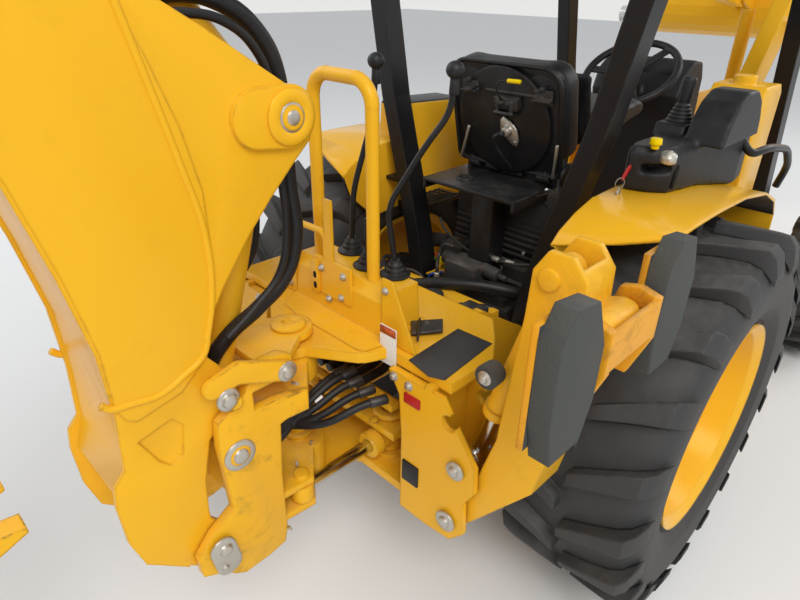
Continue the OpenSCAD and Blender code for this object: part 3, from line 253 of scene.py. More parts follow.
# Satin black paint on the steering knuckles, posts, roof and loader cylinders, and dull dark iron
# on the engine and the rear axle. Both are the same worn coat in other colours.
black = painted("black_enamel", (0.009, 0.009, 0.010, 1), under=(0.10, 0.09, 0.08, 1), grime=0.05, dusty=0.16,
                gloss=0.34, scratch=0.15, edge=0.35, dust=(0.20, 0.19, 0.17, 1))
iron = painted("engine_iron", (0.03, 0.03, 0.03, 1), gloss=0.6, grime=0.4)
dress(black, "knuckle_left", "knuckle_right", "canopy_posts", "canopy_roof", "lift_barrels", "tilt_barrels")
dress(iron, "engine_block", "rear_axle")

# Hard chrome on the piston rods: a bright smooth metal with brownish scratches and a film of
# dusty oil that dulls it in patches.
chrome = painted("plated_rod", (0.62, 0.62, 0.60, 1), under=(0.25, 0.16, 0.10, 1), edge=0.0, scratch=0.25,
                 grime=0.25, dusty=0.15, gloss=0.14, metallic=1.0)
dress(chrome, "lift_rods", "tilt_rods", "boom_rod", "dipper_rod", "hoe_bucket_rod", "stabilizer_rod_left",
      "stabilizer_rod_right")

# Charcoal mouldings with a fine grain for the dash, console, steering wheel and lever grips, and
# the smoother black rubber cover of the hoses and boots. Both gather pale dust and hardly chip.
plastic = painted("moulded_plastic", (0.014, 0.014, 0.016, 1), under=(0.05, 0.05, 0.05, 1),
                  gloss=0.46, bump=0.30, scratch=0.15, grime=0.04, dusty=0.22, edge=0.2,
                  dust=(0.16, 0.15, 0.14, 1))
rubber_cover = painted("hose_cover", (0.012, 0.012, 0.013, 1), under=(0.06, 0.06, 0.06, 1),
                       gloss=0.40, grime=0.08, dusty=0.25, edge=0.2, dust=(0.16, 0.15, 0.13, 1))
dress(rubber_cover, "hydraulic_hoses")

# Four cross-ply tyres for soft ground, of dusty black rubber. The carcass is lathed from its rim
# up, with raised rings above the bead. Two rows of slanted lugs, each a bent and bevelled block,
# run from the middle over the shoulder onto the sidewall.


def alone(obj):
    bpy.ops.object.select_all(action="DESELECT")
    obj.select_set(True)
    bpy.context.view_layer.objects.active = obj
    return obj


def joined(pieces):
    bpy.ops.object.select_all(action="DESELECT")
    for piece in pieces:
        piece.select_set(True)
    bpy.context.view_layer.objects.active = pieces[0]
    if len(pieces) > 1:
        bpy.ops.object.join()
    return bpy.context.object


def apply_modifier(obj, kind, **values):
    alone(obj)
    modifier = obj.modifiers.new(kind.lower(), kind)
    for key, value in values.items():
        setattr(modifier, key, value)
    bpy.ops.object.modifier_apply(modifier=modifier.name)
    return obj


def rounded_edges(obj, mm, segments, angle):
    return apply_modifier(obj, "BEVEL", width=mm / 1000, segments=segments, limit_method="ANGLE",
                          angle_limit=math.radians(angle))


def done(pieces, name, mat, body="machine", angle=35):
    """One finished piece: joined, placed, named, dressed, and riding on its body."""
    obj = joined(pieces) if isinstance(pieces, list) else alone(pieces)
    bpy.ops.object.transform_apply(location=True, rotation=True, scale=True)
    obj.name = name
    obj.data.materials.clear()
    obj.data.materials.append(mat)
    bpy.ops.object.shade_smooth_by_angle(angle=math.radians(angle))
    if body:
        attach(obj, body)
    return obj


def lathe(profile, centre, steps, axis=(0, 1, 0), out=(0, 0, 1)):
    """Closed profile of (radius, along) pairs in metres, spun about the axis through centre."""
    bpy.ops.object.select_all(action="DESELECT")
    bpy.ops.mesh.primitive_circle_add(vertices=len(profile), fill_type="NOTHING")
    obj = bpy.context.object
    for vertex, (radius, along) in zip(obj.data.vertices, profile):
        vertex.co = centre + radius * Vector(out) + along * Vector(axis)
    bpy.ops.object.mode_set(mode="EDIT")
    bpy.ops.mesh.select_all(action="SELECT")
    bpy.ops.mesh.spin(steps=steps, angle=2 * math.pi, center=centre, axis=axis)
    bpy.ops.mesh.select_all(action="SELECT")
    bpy.ops.mesh.remove_doubles(threshold=0.00002)
    bpy.ops.mesh.dissolve_degenerate(threshold=0.00001)
    bpy.ops.mesh.normals_make_consistent(inside=False)
    bpy.ops.object.mode_set(mode="OBJECT")
    return obj


tyre_mat = painted("tyre_rubber", (0.045, 0.044, 0.044, 1), under=(0.14, 0.135, 0.13, 1),
                   gloss=0.62, bump=0.35, grime=0.10, dusty=0.6, edge=0.9, scratch=0.8,
                   dust=(0.17, 0.165, 0.155, 1))
tyre_inset, bead_lap, tyre_steps = 0.002, 0.020, 96
lug_height, lug_root, lug_round, lug_cuts = 0.036, 0.02, 6, 7
shoulder, shoulder_drop, root_drop, lug_taper = 0.70, 0.075, 0.045, 0.16
lug_gap, lug_run, knee, lug_tuck = 0.015, 0.55, 0.8, 0.225
lug_start, lug_slant, lug_curl, lug_half, lug_flare = -0.30, 0.62, 0.08, 0.115, 0.105


def tyre(side, end, lugs):
    node = f"tyre_{end}_{side}"
    low, high = [Vector(c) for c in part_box(node)]
    rim_low, rim_high = [Vector(c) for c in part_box(f"rim_{end}_{side}")]
    centre = (low + high) / 2
    width, radius = high.y - low.y - 2 * tyre_inset, (high.z - low.z) / 2 - tyre_inset
    bead = (rim_high.z - rim_low.z) / 2 - bead_lap
    base = radius - lug_height
    half = [(bead + 0.003, 0.34), (bead + 0.018, 0.395), (bead + 0.030, 0.40), (bead + 0.036, 0.42),
            (bead + 0.075, 0.462), (bead + 0.080, 0.470), (bead + 0.088, 0.470), (base * 0.80, 0.488),
            (base * 0.86, 0.484), (base * 0.92, 0.462), (base * 0.965, 0.42), (base * 0.99, 0.35),
            (base, 0.22), (base, 0.08)]
    profile = [(r, -y * width) for r, y in half] + [(r, y * width) for r, y in reversed(half)]
    parts = [lathe(profile, centre, tyre_steps)]
    pitch_angle = 2 * math.pi / lugs
    for row in (-1, 1):
        bpy.ops.object.select_all(action="DESELECT")
        bpy.ops.mesh.primitive_cube_add(size=2)
        lug = bpy.context.object
        bpy.ops.object.mode_set(mode="EDIT")
        bpy.ops.mesh.select_all(action="SELECT")
        bpy.ops.mesh.subdivide(number_cuts=lug_cuts)
        bpy.ops.object.mode_set(mode="OBJECT")
        shape = [v.co.copy() for v in lug.data.vertices]
        copies = [lug] + [lug.copy() for i in range(lugs - 1)]
        for i, piece in enumerate(copies):
            if i:
                piece.data = lug.data.copy()
                bpy.context.scene.collection.objects.link(piece)
            for vertex, p in zip(piece.data.vertices, shape):
                s = (p.y + 1) / 2
                over = max(0.0, (s - shoulder) / (1 - shoulder))
                top = radius - shoulder_drop * over ** 2
                foot = base - lug_root - root_drop * over
                r = foot + (top - foot) * (p.z + 1) / 2
                y = width * (lug_gap + lug_run * min(s, knee) + lug_tuck * max(0, s - knee))
                narrow = 1 - lug_taper * (p.z + 1) / 2
                turned = pitch_angle * (i + row / 4 + lug_slant * s - lug_curl * s * s + lug_start
                                        + p.x * narrow * (lug_half + lug_flare * s))
                vertex.co = centre + Vector((r * math.sin(turned), row * y, r * math.cos(turned)))
        parts.append(rounded_edges(joined(copies), lug_round, 2, 50))
    body = done(parts, f"{node}_moulding", tyre_mat, f"wheel_{end}_{side}", 38)
    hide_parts(node)


for end, lugs in (("rear", 20), ("front", 18)):
    for side in ("right", "left"):
        tyre(side, end, lugs)

# Fenders: one pressed sheet each, made from the CAD node with its edges rounded. The top is
# smooth gloss yellow and hardly worn; the underside is black.


def eased(node, mat, width, body=None, angle=32, smooth=42):
    """A copy of a CAD node, faces merged and edges rounded, that stands for it."""
    obj = bpy.data.objects.new(f"{node}_finished", nodes[node].data.copy())
    bpy.context.scene.collection.objects.link(obj)
    alone(obj)
    bpy.ops.object.mode_set(mode="EDIT")
    bpy.ops.mesh.select_all(action="SELECT")
    bpy.ops.mesh.remove_doubles(threshold=0.00005)
    bpy.ops.mesh.dissolve_limited(angle_limit=flat_enough)
    bpy.ops.object.mode_set(mode="OBJECT")
    rounded_edges(obj, width, 3, angle)
    done(obj, obj.name, mat, body or node, smooth)
    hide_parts(node)
    return obj


def two_tone(obj, mat, test):
    """A second material on the faces that the test picks."""
    obj.data.materials.append(mat)
    for face in obj.data.polygons:
        if test(face):
            face.material_index = 1


shine = painted("fender_enamel", enamel, grime=0.03, dusty=0.06, scratch=0.05, edge=0.15,
                gloss=0.20, bump=0.015, coat=0.05)
flat_enough = math.radians(2)
for side in ("left", "right"):
    fender = eased(f"fender_{side}", shine, 3, "machine", smooth=60)
    two_tone(fender, black, lambda face: face.normal.z < -0.2)

# Moulded console on the right fender: the CAD node remeshed and smoothed to soft-edged textured
# plastic. It carries a slot drawn as a near-black plate of painted shade, a joystick's pleated
# boot, a yellow knob, an ignition switch with its key and fob, and a bent hand rail along its
# outer edge.


def upright(profile, place, steps):
    """A piece lathed about the vertical line through place, up from it."""
    return lathe(profile, at(*place), steps, axis=(0, 0, 1), out=(1, 0, 0))


def hoop(r, wire, sides, centre, steps, axis, out):
    """A ring of round wire about the axis through centre."""
    turns = [2 * math.pi * i / sides for i in range(sides)]
    return lathe([(r + wire * math.cos(a), wire * math.sin(a)) for a in turns], centre, steps, axis, out)


def block(low, high, bevel=3, segments=2):
    low, high = at(*low), at(*high)
    bpy.ops.object.select_all(action="DESELECT")
    bpy.ops.mesh.primitive_cube_add(size=1, location=(low + high) / 2)
    obj = bpy.context.object
    obj.scale = high - low
    bpy.ops.object.transform_apply(location=True, rotation=True, scale=True)
    return apply_modifier(obj, "BEVEL", width=bevel / 1000, segments=segments)


def plate(outline, axis, start, depth, bevel=1.5, segments=2):
    """An outline of (x, z), (y, z) or (x, y) pairs, square to y, x or z, from start for depth."""
    spread = {"y": lambda u, v: (u, start, v), "x": lambda u, v: (start, u, v),
              "z": lambda u, v: (u, v, start)}
    away = {"y": (0, depth / 1000, 0), "x": (depth / 1000, 0, 0), "z": (0, 0, depth / 1000)}
    bpy.ops.object.select_all(action="DESELECT")
    bpy.ops.mesh.primitive_circle_add(vertices=len(outline), fill_type="NGON")
    obj = bpy.context.object
    for vertex, (u, v) in zip(obj.data.vertices, outline):
        vertex.co = at(*spread[axis](u, v))
    bpy.ops.object.mode_set(mode="EDIT")
    bpy.ops.mesh.select_all(action="SELECT")
    bpy.ops.mesh.extrude_region_move(TRANSFORM_OT_translate={"value": away[axis]})
    bpy.ops.mesh.select_all(action="SELECT")
    bpy.ops.mesh.normals_make_consistent(inside=False)
    bpy.ops.object.mode_set(mode="OBJECT")
    return rounded_edges(obj, bevel, segments, 30) if bevel else obj


def rod(a, b, r, end=None, sides=24, bevel=1.0):
    """A round bar from a to b with bevelled ends; it tapers to end, and few sides make a nut."""
    a, b = at(*a), at(*b)
    bpy.ops.object.select_all(action="DESELECT")
    bpy.ops.mesh.primitive_cone_add(vertices=sides, radius1=r / 1000, radius2=(end or r) / 1000,
                                    depth=(b - a).length, location=(a + b) / 2,
                                    rotation=(b - a).to_track_quat("Z", "Y").to_euler())
    bpy.ops.object.transform_apply(location=True, rotation=True, scale=True)
    return rounded_edges(bpy.context.object, bevel, 2, 40)


def ball(centre, size, sides=24):
    bpy.ops.object.select_all(action="DESELECT")
    bpy.ops.mesh.primitive_uv_sphere_add(segments=sides, ring_count=sides // 2, radius=1,
                                         location=at(*centre))
    obj = bpy.context.object
    obj.scale = [s / 1000 for s in size]
    bpy.ops.object.transform_apply(location=True, rotation=True, scale=True)
    return obj


def hose(points, r, bend=None, sides=4):
    """A round tube along the points: a smooth run, or straight with corners rounded by bend."""
    data = bpy.data.curves.new("run", "CURVE")
    data.dimensions = "3D"
    route = [at(*p) for p in points]
    if bend:
        rounded = [route[0]]
        for before, corner, after in zip(route, route[1:], route[2:]):
            reach = min(bend / 1000, (corner - before).length * 0.48, (after - corner).length * 0.48)
            a = corner + (before - corner).normalized() * reach
            b = corner + (after - corner).normalized() * reach
            rounded += [a.lerp(corner, t).lerp(corner.lerp(b, t), t) for t in (0, 0.2, 0.4, 0.6, 0.8, 1)]
        route = rounded + [route[-1]]
    spline = data.splines.new("POLY" if bend else "BEZIER")
    knots = spline.points if bend else spline.bezier_points
    knots.add(len(route) - 1)
    for knot, place in zip(knots, route):
        if bend:
            knot.co = (*place, 1)
        else:
            knot.co = place
            knot.handle_left_type = knot.handle_right_type = "AUTO"
    data.bevel_depth = r / 1000
    data.bevel_resolution = sides
    data.resolution_u = 10
    data.use_fill_caps = True
    obj = bpy.data.objects.new("run", data)
    bpy.context.scene.collection.objects.link(obj)
    alone(obj)
    bpy.ops.object.convert(target="MESH")
    return bpy.context.object


def moulded(node, voxel, iterations):
    """A copy of a CAD node, remeshed and smoothed as from a mould, that stands for it."""
    obj = bpy.data.objects.new(f"{node}_moulding", nodes[node].data.copy())
    bpy.context.scene.collection.objects.link(obj)
    alone(obj)
    apply_modifier(obj, "REMESH", mode="VOXEL", voxel_size=voxel / 1000)
    apply_modifier(obj, "SMOOTH", factor=0.5, iterations=iterations)
    done(obj, obj.name, plastic, angle=80)
    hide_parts(node)


moulded("side_console", 5, 16)
vivid = painted("yellow_knob", (0.85, 0.62, 0.0, 1), gloss=0.35, edge=0, scratch=0.1, grime=0.05)
zinc = painted("zinc_plate", (0.52, 0.50, 0.45, 1), under=(0.12, 0.07, 0.04, 1), gloss=0.34,
               metallic=0.8, edge=0.3, scratch=0.2, grime=0.25, dusty=0.15)
red = painted("red_plastic", (0.45, 0.012, 0.012, 1), gloss=0.4, edge=0, scratch=0.1, grime=0.1)
# Near-black glossy plates of painted shade stand for sunk slots: the console's slot and the slots of the
# tower's strip.
slot_shade = painted("painted_recess_shade", (0.003, 0.003, 0.003, 1), gloss=0.8, edge=0)
knob_x, knob_y, knob_z = -66, -500, 1410
knob = [rod((knob_x, knob_y, knob_z), (knob_x, knob_y, knob_z + 14), 11),
        rod((knob_x, knob_y, knob_z + 12), (knob_x, knob_y, knob_z + 28), 17, 15)]
done(knob, "console_knob", vivid)
switch = [rod((-108, -556, 1396), (-112, -560, 1414), 22, 20),
          rod((-112, -560, 1413), (-113, -561, 1417), 13),
          block((-118, -567, 1415), (-108, -555, 1424), 1.5)]
done(switch, "ignition_switch", zinc)
ring = hoop(0.0140, 0.0014, 6, at(-132, -452, 1318), 28, (0.5, 0.86, 0), (0, 0, 1))
key = plate([(-146, 1268), (-138, 1264), (-124, 1276), (-122, 1298), (-132, 1304), (-142, 1296)],
            "y", -454, 3, 1)
done([ring, key], "key_and_ring", zinc)
fob = plate([(-128, 1330), (-122, 1322), (-96, 1342), (-84, 1352), (-88, 1362), (-104, 1354)],
            "y", -456, 7, 2)
done(fob, "key_fob", red)
rail = hose([(410, -572, 1380), (414, -612, 1330), (500, -640, 1345), (740, -640, 1300),
             (862, -632, 1215), (880, -610, 1130)], 13, bend=60)
done(rail, "console_hand_rail", black)
# The console's slot is a near-black plate of painted shade on its face.
slot = plate([(-12, 1298), (2, 1292), (14, 1312), (20, 1350), (10, 1362), (-4, 1340)], "y", -548, 6, 2)
done(slot, "console_slot_shade", slot_shade)
boot_r, boot_slope, pleat_rise = 0.040, 0.0022, 0.0052
pleats = [(boot_r - boot_slope * i + (0.003 if i % 2 else -0.002), pleat_rise * i) for i in range(10)]
boot = upright([(0.002, 0.0)] + pleats + [(0.012, 0.055), (0.002, 0.055)], (203, -450, 1438), 32)
done(boot, "joystick_boot", rubber_cover)

# Dash, steering wheel and the tank beside the dash: a soft-edged dark moulding, a lathed rim on
# three flat spokes, and a painted steel tank with a ribbed screw cap.
moulded("dashboard", 8, 4)
hub_x, hub_z = 790, 1480
rake = math.radians(35)
hub = at(hub_x, 0, hub_z)
wheel_axis = Vector((-math.sin(rake), 0, math.cos(rake)))
across = Vector((math.cos(rake), 0, math.sin(rake)))
rim = hoop(0.180, 0.0145, 12, hub, 72, wheel_axis, across)
boss = lathe([(0.001, -0.018), (0.036, -0.018), (0.045, -0.006), (0.044, 0.006), (0.034, 0.013),
              (0.001, 0.016)], hub, 40, axis=wheel_axis, out=across)
spokes = []
for a in (90, 210, 330):
    arm = block((hub_x + 14, -17, hub_z - 7), (hub_x + 172, 17, hub_z + 4), 4, 3)
    arm.matrix_world = (Matrix.Translation(hub) @ Matrix.Rotation(-rake, 4, "Y")
                        @ Matrix.Rotation(math.radians(a), 4, "Z") @ Matrix.Translation(-hub))
    spokes.append(alone(arm))
    bpy.ops.object.transform_apply(location=True, rotation=True, scale=True)
wheel = done([rim, boss] + spokes, "steering_wheel_moulding", plastic, "steering_wheel")
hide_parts("steering_wheel")
eased("hydraulic_tank", yellow, 10, "machine")
cap_r, rib = 0.036, 0.0015
ribs = [(cap_r + rib if i % 2 else cap_r, 0.028 - 0.002 * i) for i in range(12)]
cap = upright([(0.001, 0.036), (0.030, 0.036), (cap_r, 0.031)] + ribs + [(cap_r, 0.0), (0.001, 0.0)],
              (765, -440, 1484.5), 36)
done(cap, "tank_cap", plastic)

# Seat tipped forward on its hinge: a black pressed pan with its latch, zinc dial plate and cables
# towards the backhoe, a crowned vinyl squab and the folded back, both blown up as cloth, and the
# stand below, made anew with its lipped top and swivel.
vinyl = painted("seat_vinyl", (0.016, 0.016, 0.018, 1), under=(0.04, 0.04, 0.04, 1), gloss=0.42,
                bump=0.45, edge=0.1, scratch=0.1, grime=0.04, dusty=0.25, dust=(0.14, 0.13, 0.12, 1))
gloss_black = painted("pan_enamel", (0.010, 0.010, 0.011, 1), under=(0.10, 0.06, 0.04, 1), gloss=0.38,
                      coat=0.1, edge=0.4, scratch=0.2, grime=0.10, dusty=0.25,
                      dust=(0.20, 0.19, 0.17, 1))
dark_steel = painted("dark_steel", (0.045, 0.045, 0.045, 1), under=(0.16, 0.10, 0.06, 1), gloss=0.42,
                     metallic=0.5, grime=0.3, dusty=0.25)
lean = math.radians(-13.3)
hinge_z, stand_top = 1240, 1206
pan_foot = at(-18, 0, hinge_z)
cloth_frames = 20


def tipped(obj):
    """Built upright over the seat's hinge, then leaned back with the pan."""
    alone(obj)
    obj.matrix_world = (Matrix.Translation(pan_foot) @ Matrix.Rotation(lean, 4, "Y")
                        @ Matrix.Translation(-pan_foot))
    bpy.ops.object.transform_apply(location=True, rotation=True, scale=True)
    return obj


def rounded_box(u0, u1, v0, v1, r, lower=None, steps=8):
    """The outline of a box with round corners; the two at v0 may have a radius of their own."""
    foot = lower or r
    corners = [(u1 - r, v1 - r, r, 0), (u0 + r, v1 - r, r, 90), (u0 + foot, v0 + foot, foot, 180),
               (u1 - foot, v0 + foot, foot, 270)]
    turns = [90 * i / steps for i in range(steps + 1)]
    return [(u + q * math.cos(math.radians(a + turn)), v + q * math.sin(math.radians(a + turn)))
            for u, v, q, a in corners for turn in turns]


def cushion(source, name, body, cap_mm, pressure=4.0):
    """The block, remeshed and blown up a little as cloth, with how far a point moves capped."""
    apply_modifier(source, "REMESH", mode="VOXEL", voxel_size=0.010)
    apply_modifier(source, "SMOOTH", factor=0.5, iterations=6)
    start = [v.co.copy() for v in source.data.vertices]
    alone(source)
    cloth = source.modifiers.new("cloth", "CLOTH")
    cloth.settings.use_pressure = True
    cloth.settings.uniform_pressure_force = pressure
    cloth.settings.effector_weights.gravity = 0
    for frame_number in range(1, cloth_frames + 1):
        bpy.context.scene.frame_set(frame_number)
    bpy.ops.object.modifier_apply(modifier=cloth.name)
    for vertex, was in zip(source.data.vertices, start):
        moved = vertex.co - was
        if moved.length > cap_mm / 1000:
            vertex.co = was + moved.normalized() * cap_mm / 1000
    bpy.context.scene.frame_set(1)
    apply_modifier(source, "SUBSURF", levels=1, render_levels=1)
    done(source, name, vinyl, body, 80)
    return source


squab = tipped(plate(rounded_box(-224, 224, 1290, 1594, 70, 40), "x", -4, 84, 16, 4))
squab = cushion(squab, "seat_squab", "seat", 8)
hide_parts("seat")
back = plate([(92, 1560), (140, 1348), (160, 1312), (330, 1342), (510, 1384), (536, 1402),
              (528, 1424), (498, 1436), (320, 1410), (196, 1390), (152, 1420), (112, 1560)],
             "y", -205, 410, 8, 3)
cushion(back, "seat_back", "seat", 8)
pan = tipped(plate(rounded_box(-206, 206, 1246, 1590, 62, 24), "x", -8, 7, 2.5, 3))
lip_line = [(-12, y, z) for y, z in rounded_box(-205, 205, 1247, 1589, 62, 24)]
lip = tipped(hose(lip_line + [(-12, 205, 1527)], 7, sides=3))
dish = tipped(lathe([(0.001, 0.0), (0.170, 0.0), (0.177, 0.0025), (0.170, 0.005), (0.001, 0.005)],
                    at(-25, 0, 1410), 64, axis=(1, 0, 0), out=(0, 0, 1)))
done([pan, lip, dish], "seat_pan", gloss_black, "seat", 45)
fittings = []
for y0, y1 in ((88, 152), (-184, -120)):
    y = (y0 + y1) / 2
    fittings += [block((-44, y0, 1500), (-22, y1, 1505), 1), block((-27, y0, 1484), (-22, y1, 1530), 1),
                 rod((-40, y, 1535), (-22, y, 1535), 9, sides=6)]
fittings += [block((-52, -74, 1462), (-24, 12, 1500), 2), block((-60, -60, 1440), (-24, -52, 1492), 1),
             block((-60, -8, 1440), (-24, 0, 1492), 1), rod((-62, -66, 1456), (-62, 6, 1456), 5),
             rod((-60, -16, 1484), (-50, -16, 1484), 8, sides=6),
             rod((-60, -44, 1484), (-50, -44, 1484), 8, sides=6),
             rod((-66, 96, 1515), (-22, 96, 1515), 5), block((-30, -150, 1502), (-22, 60, 1512), 2)]
done(tipped(joined(fittings)), "seat_latch", dark_steel, "seat")
dial = plate([(4, 1420), (-8, 1432), (-34, 1420), (-58, 1396), (-64, 1360), (-56, 1338), (-38, 1342),
              (-8, 1368), (6, 1388)], "x", -34, 4, 1.5)
dial = [dial, rod((-52, -24, 1388), (-30, -24, 1388), 15),
        rod((-37, -50, 1352), (-33, -50, 1352), 4, sides=6)]
done(tipped(joined(dial)), "dial_plate", zinc, "seat")
wire = [hose([(-52, -20, 1492), (-66, -16, 1512), (-70, -14, 1540), (-62, -22, 1556), (-58, -96, 1558)],
             3, bend=14),
        hose([(-52, -10, 1386), (-70, 2, 1376), (-64, 4, 1350), (-52, -14, 1300), (-30, -30, 1256)], 6),
        rod((-60, -20, 1386), (-40, 6, 1374), 9)]
done(tipped(joined(wire)), "seat_cables", rubber_cover, "seat")
sleeve = rod((-59, -50, 1558), (-58, -96, 1559), 6.5, bevel=2)
done(tipped(sleeve), "grip_sleeve", vivid, "seat")
struts = [rod((-34, 134, 1378), (-24, 190, hinge_z + 12), 5),
          rod((-34, -206, 1372), (-24, -184, hinge_z + 12), 5)]
done(tipped(joined(struts)), "seat_struts", zinc, "seat")
hinge = [rod((0, y, hinge_z), (0, y + 46, hinge_z), 20.5) for y in (-164, -60, 40, 118)]
hinge += [plate(rounded_box(-20, 34, hinge_z - 4, hinge_z + 22, 6), "y", y, 6, 1) for y in (-152, 146)]
done(hinge, "seat_hinge_barrels", dark_steel, "seat")
recliner = [rod((-8, -232, 1262), (-8, -222, 1262), 42),
            rod((-8, -236, 1262), (-8, -230, 1262), 12, sides=6)]
done(recliner, "recliner_disc", gloss_black, "seat")
stand = [plate([(-234, 184), (-234, -184), (-120, -184), (10, -150), (10, 184)], "z", stand_top, 12.6, 2),
         upright([(0.018, 0.0), (0.030, 0.0), (0.032, 0.004), (0.028, 0.007), (0.018, 0.006)],
                 (-150, 70, stand_top + 12.6), 32),
         block((-178, -70, 847), (-94, 14, stand_top), 4, 2), block((2, -182, 1204), (12, 182, 1246), 2),
         block((-234, 174, 1181), (10, 184, 1208), 1.5), block((-234, -184, 1181), (10, -174, 1208), 1.5)]
stand = done(stand, "seat_stand", gloss_black)
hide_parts("seat_base")

# Backhoe station on the yellow control tower: black bent levers with moulded ball grips and
# pleated rubber boots, a slotted strip whose slots are near-black plates of painted shade,
# hexagon bolts, and a label left blank. The levers are swept bars; the boots are lathed.
right_foot, middle_foot, left_foot = (-666, -117), (-680, -25), (-643, 84)
boot_z, grip_z, tower_face = 1100.5, 1617, -779


def bolts(places, away, size, washer=1.75):
    """Hexagon heads on washers at (x, y, z) places; away is the way they face."""
    parts = []
    away = Vector(away).normalized()
    for x, y, z in places:
        foot = Vector((x, y, z))
        steps = [foot - away * 2, foot + away * size * 0.16, foot + away * size * 0.62]
        parts.append(rod(steps[0], steps[1], size * washer / 2, sides=24, bevel=0.6))
        parts.append(rod(steps[1] - away, steps[2], size * 0.56, sides=6, bevel=0.8))
    return joined(parts)


boots = []
for x, y in (left_foot, middle_foot, right_foot):
    folds = [(0.034 - 0.0032 * i - (0.004 if i % 2 else 0), 0.008 + 0.006 * i) for i in range(6)]
    boots.append(upright([(0.001, -0.001), (0.040, -0.001), (0.042, 0.005)] + folds
                         + [(0.013, 0.044), (0.001, 0.044)], (x, y, boot_z), 32))
levers = [hose([(*right_foot, 1130), (-672, -92, 1285), (-600, -150, 1440), (-548, -184, 1520),
                (-542, -186, 1600)], 8, bend=45),
          hose([(*left_foot, 1130), (-650, 64, 1290), (-580, 62, 1470), (-566, 60, 1600)], 8,
               bend=45),
          rod((*middle_foot, 1130), (-682, -24, 1240), 7)]
grips = []
for x, y in ((-542, -186), (-566, 60)):
    grips += [ball((x, y, grip_z), (22.5, 22.5, 21)), rod((x, y, 1560), (x, y, 1600), 13, 11, bevel=3)]
levers = done(levers, "hoe_levers", black)
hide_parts("control_levers")
done(grips, "lever_grips", plastic, angle=60)
done(boots, "lever_boots", rubber_cover, angle=50)
plate_bolts = bolts([(tower_face + 1, y, z) for y, z in ((56, 1100), (-34, 1102), (-24, 1034), (30, 1012))],
                    (-1, 0, 0), 13)
corner_bolts = bolts([(tower_face, y, z) for y, z in ((208, 1000), (-208, 1000), (196, 1120), (-196, 1120))],
                     (-1, 0, 0), 12)
done([plate_bolts, corner_bolts], "tower_bolts", zinc)
guide = plate([(66, 1120), (92, 1118), (100, 1090), (96, 1020), (70, 1016), (64, 1040)], "x",
              tower_face - 5, 7, 1.5)
done(guide, "slotted_strip", yellow)
# The strip's two slots are near-black plates of painted shade.
slots = [plate(rounded_box(76, 88, z, z + 20, 5), "x", tower_face - 6, 3, 0) for z in (1030, 1062)]
done(slots, "strip_slot_shade", slot_shade)
label = bpy.data.materials.new("blank_label")
label.use_nodes = True
lt = label.node_tree
place = add(lt, "ShaderNodeTexCoord").outputs["Object"]
specks = ramp(lt, noise(lt, place, 160, 4, 0.6), 0.60, 0.75)
paper, soiled = (0.78, 0.77, 0.73, 1), (0.45, 0.42, 0.36, 1)
label_shader = lt.nodes["Principled BSDF"]
lt.links.new(blend_colour(lt, specks, paper, soiled), label_shader.inputs["Base Color"])
label_shader.inputs["Roughness"].default_value = 0.35
done(plate(rounded_box(-259, -201, 930, 1042, 4), "x", -803, 2, 0.4), "tower_label", label)
head = painted("label_head", (0.55, 0.09, 0.01, 1), gloss=0.35, edge=0)
done(plate([(-258, 1018), (-202, 1018), (-203, 1040), (-257, 1040)], "x", -804, 1.2, 0.2), "label_heads",
     head)

# Deck and rear wall: a pressed steel pedal with a ribbed tread, a coarse anti-slip pad, a red
# reflector, a blank plate and zinc-plated wall bolts. All are outlines given a thickness and
# bevelled, and they lie on the frame's plates.
deck_z, wall_x, tread_ribs = 974.5, -826, 5
pedal = [plate([(-602, -239), (-650, -281), (-721, -233), (-673, -186)], "z", 982, 8, 2)]
for i in range(tread_ribs):
    x, y = -636 - 10 * i, -198 - 8 * i
    pedal.append(rod((x - 14, y, 992), (x - 62, y - 42, 992), 3, sides=10, bevel=0.8))
pedal.append(rod((-640, -212, 976), (-655, -228, 990), 9))
done(pedal, "deck_pedal", dark_steel)
grit = painted("anti_slip", (0.050, 0.050, 0.052, 1), under=(0.10, 0.09, 0.08, 1), gloss=0.85, bump=0.9,
               scratch=0.3, grime=0.1, dusty=0.55, edge=0.5, dust=(0.11, 0.105, 0.10, 1))
pad = plate([(-800, -300), (-596, -288), (-590, -398), (-800, -418), (-816, -380)], "z", deck_z, 2.6, 0.8)
done(pad, "deck_pads", grit)
done(plate(rounded_box(-364, -310, 868, 898, 4), "x", wall_x, 5, 1.2), "reflector", red)
done(plate(rounded_box(-366, -309, 610, 678, 4), "x", wall_x, 4, 1), "blank_plate", plastic)
wall_heads = [(wall_x + 4, side * y, z) for side in (-1, 1) for y, z in ((272, 925), (324, 921))]
done(bolts(wall_heads, (-1, 0, 0), 15), "wall_bolts", zinc)

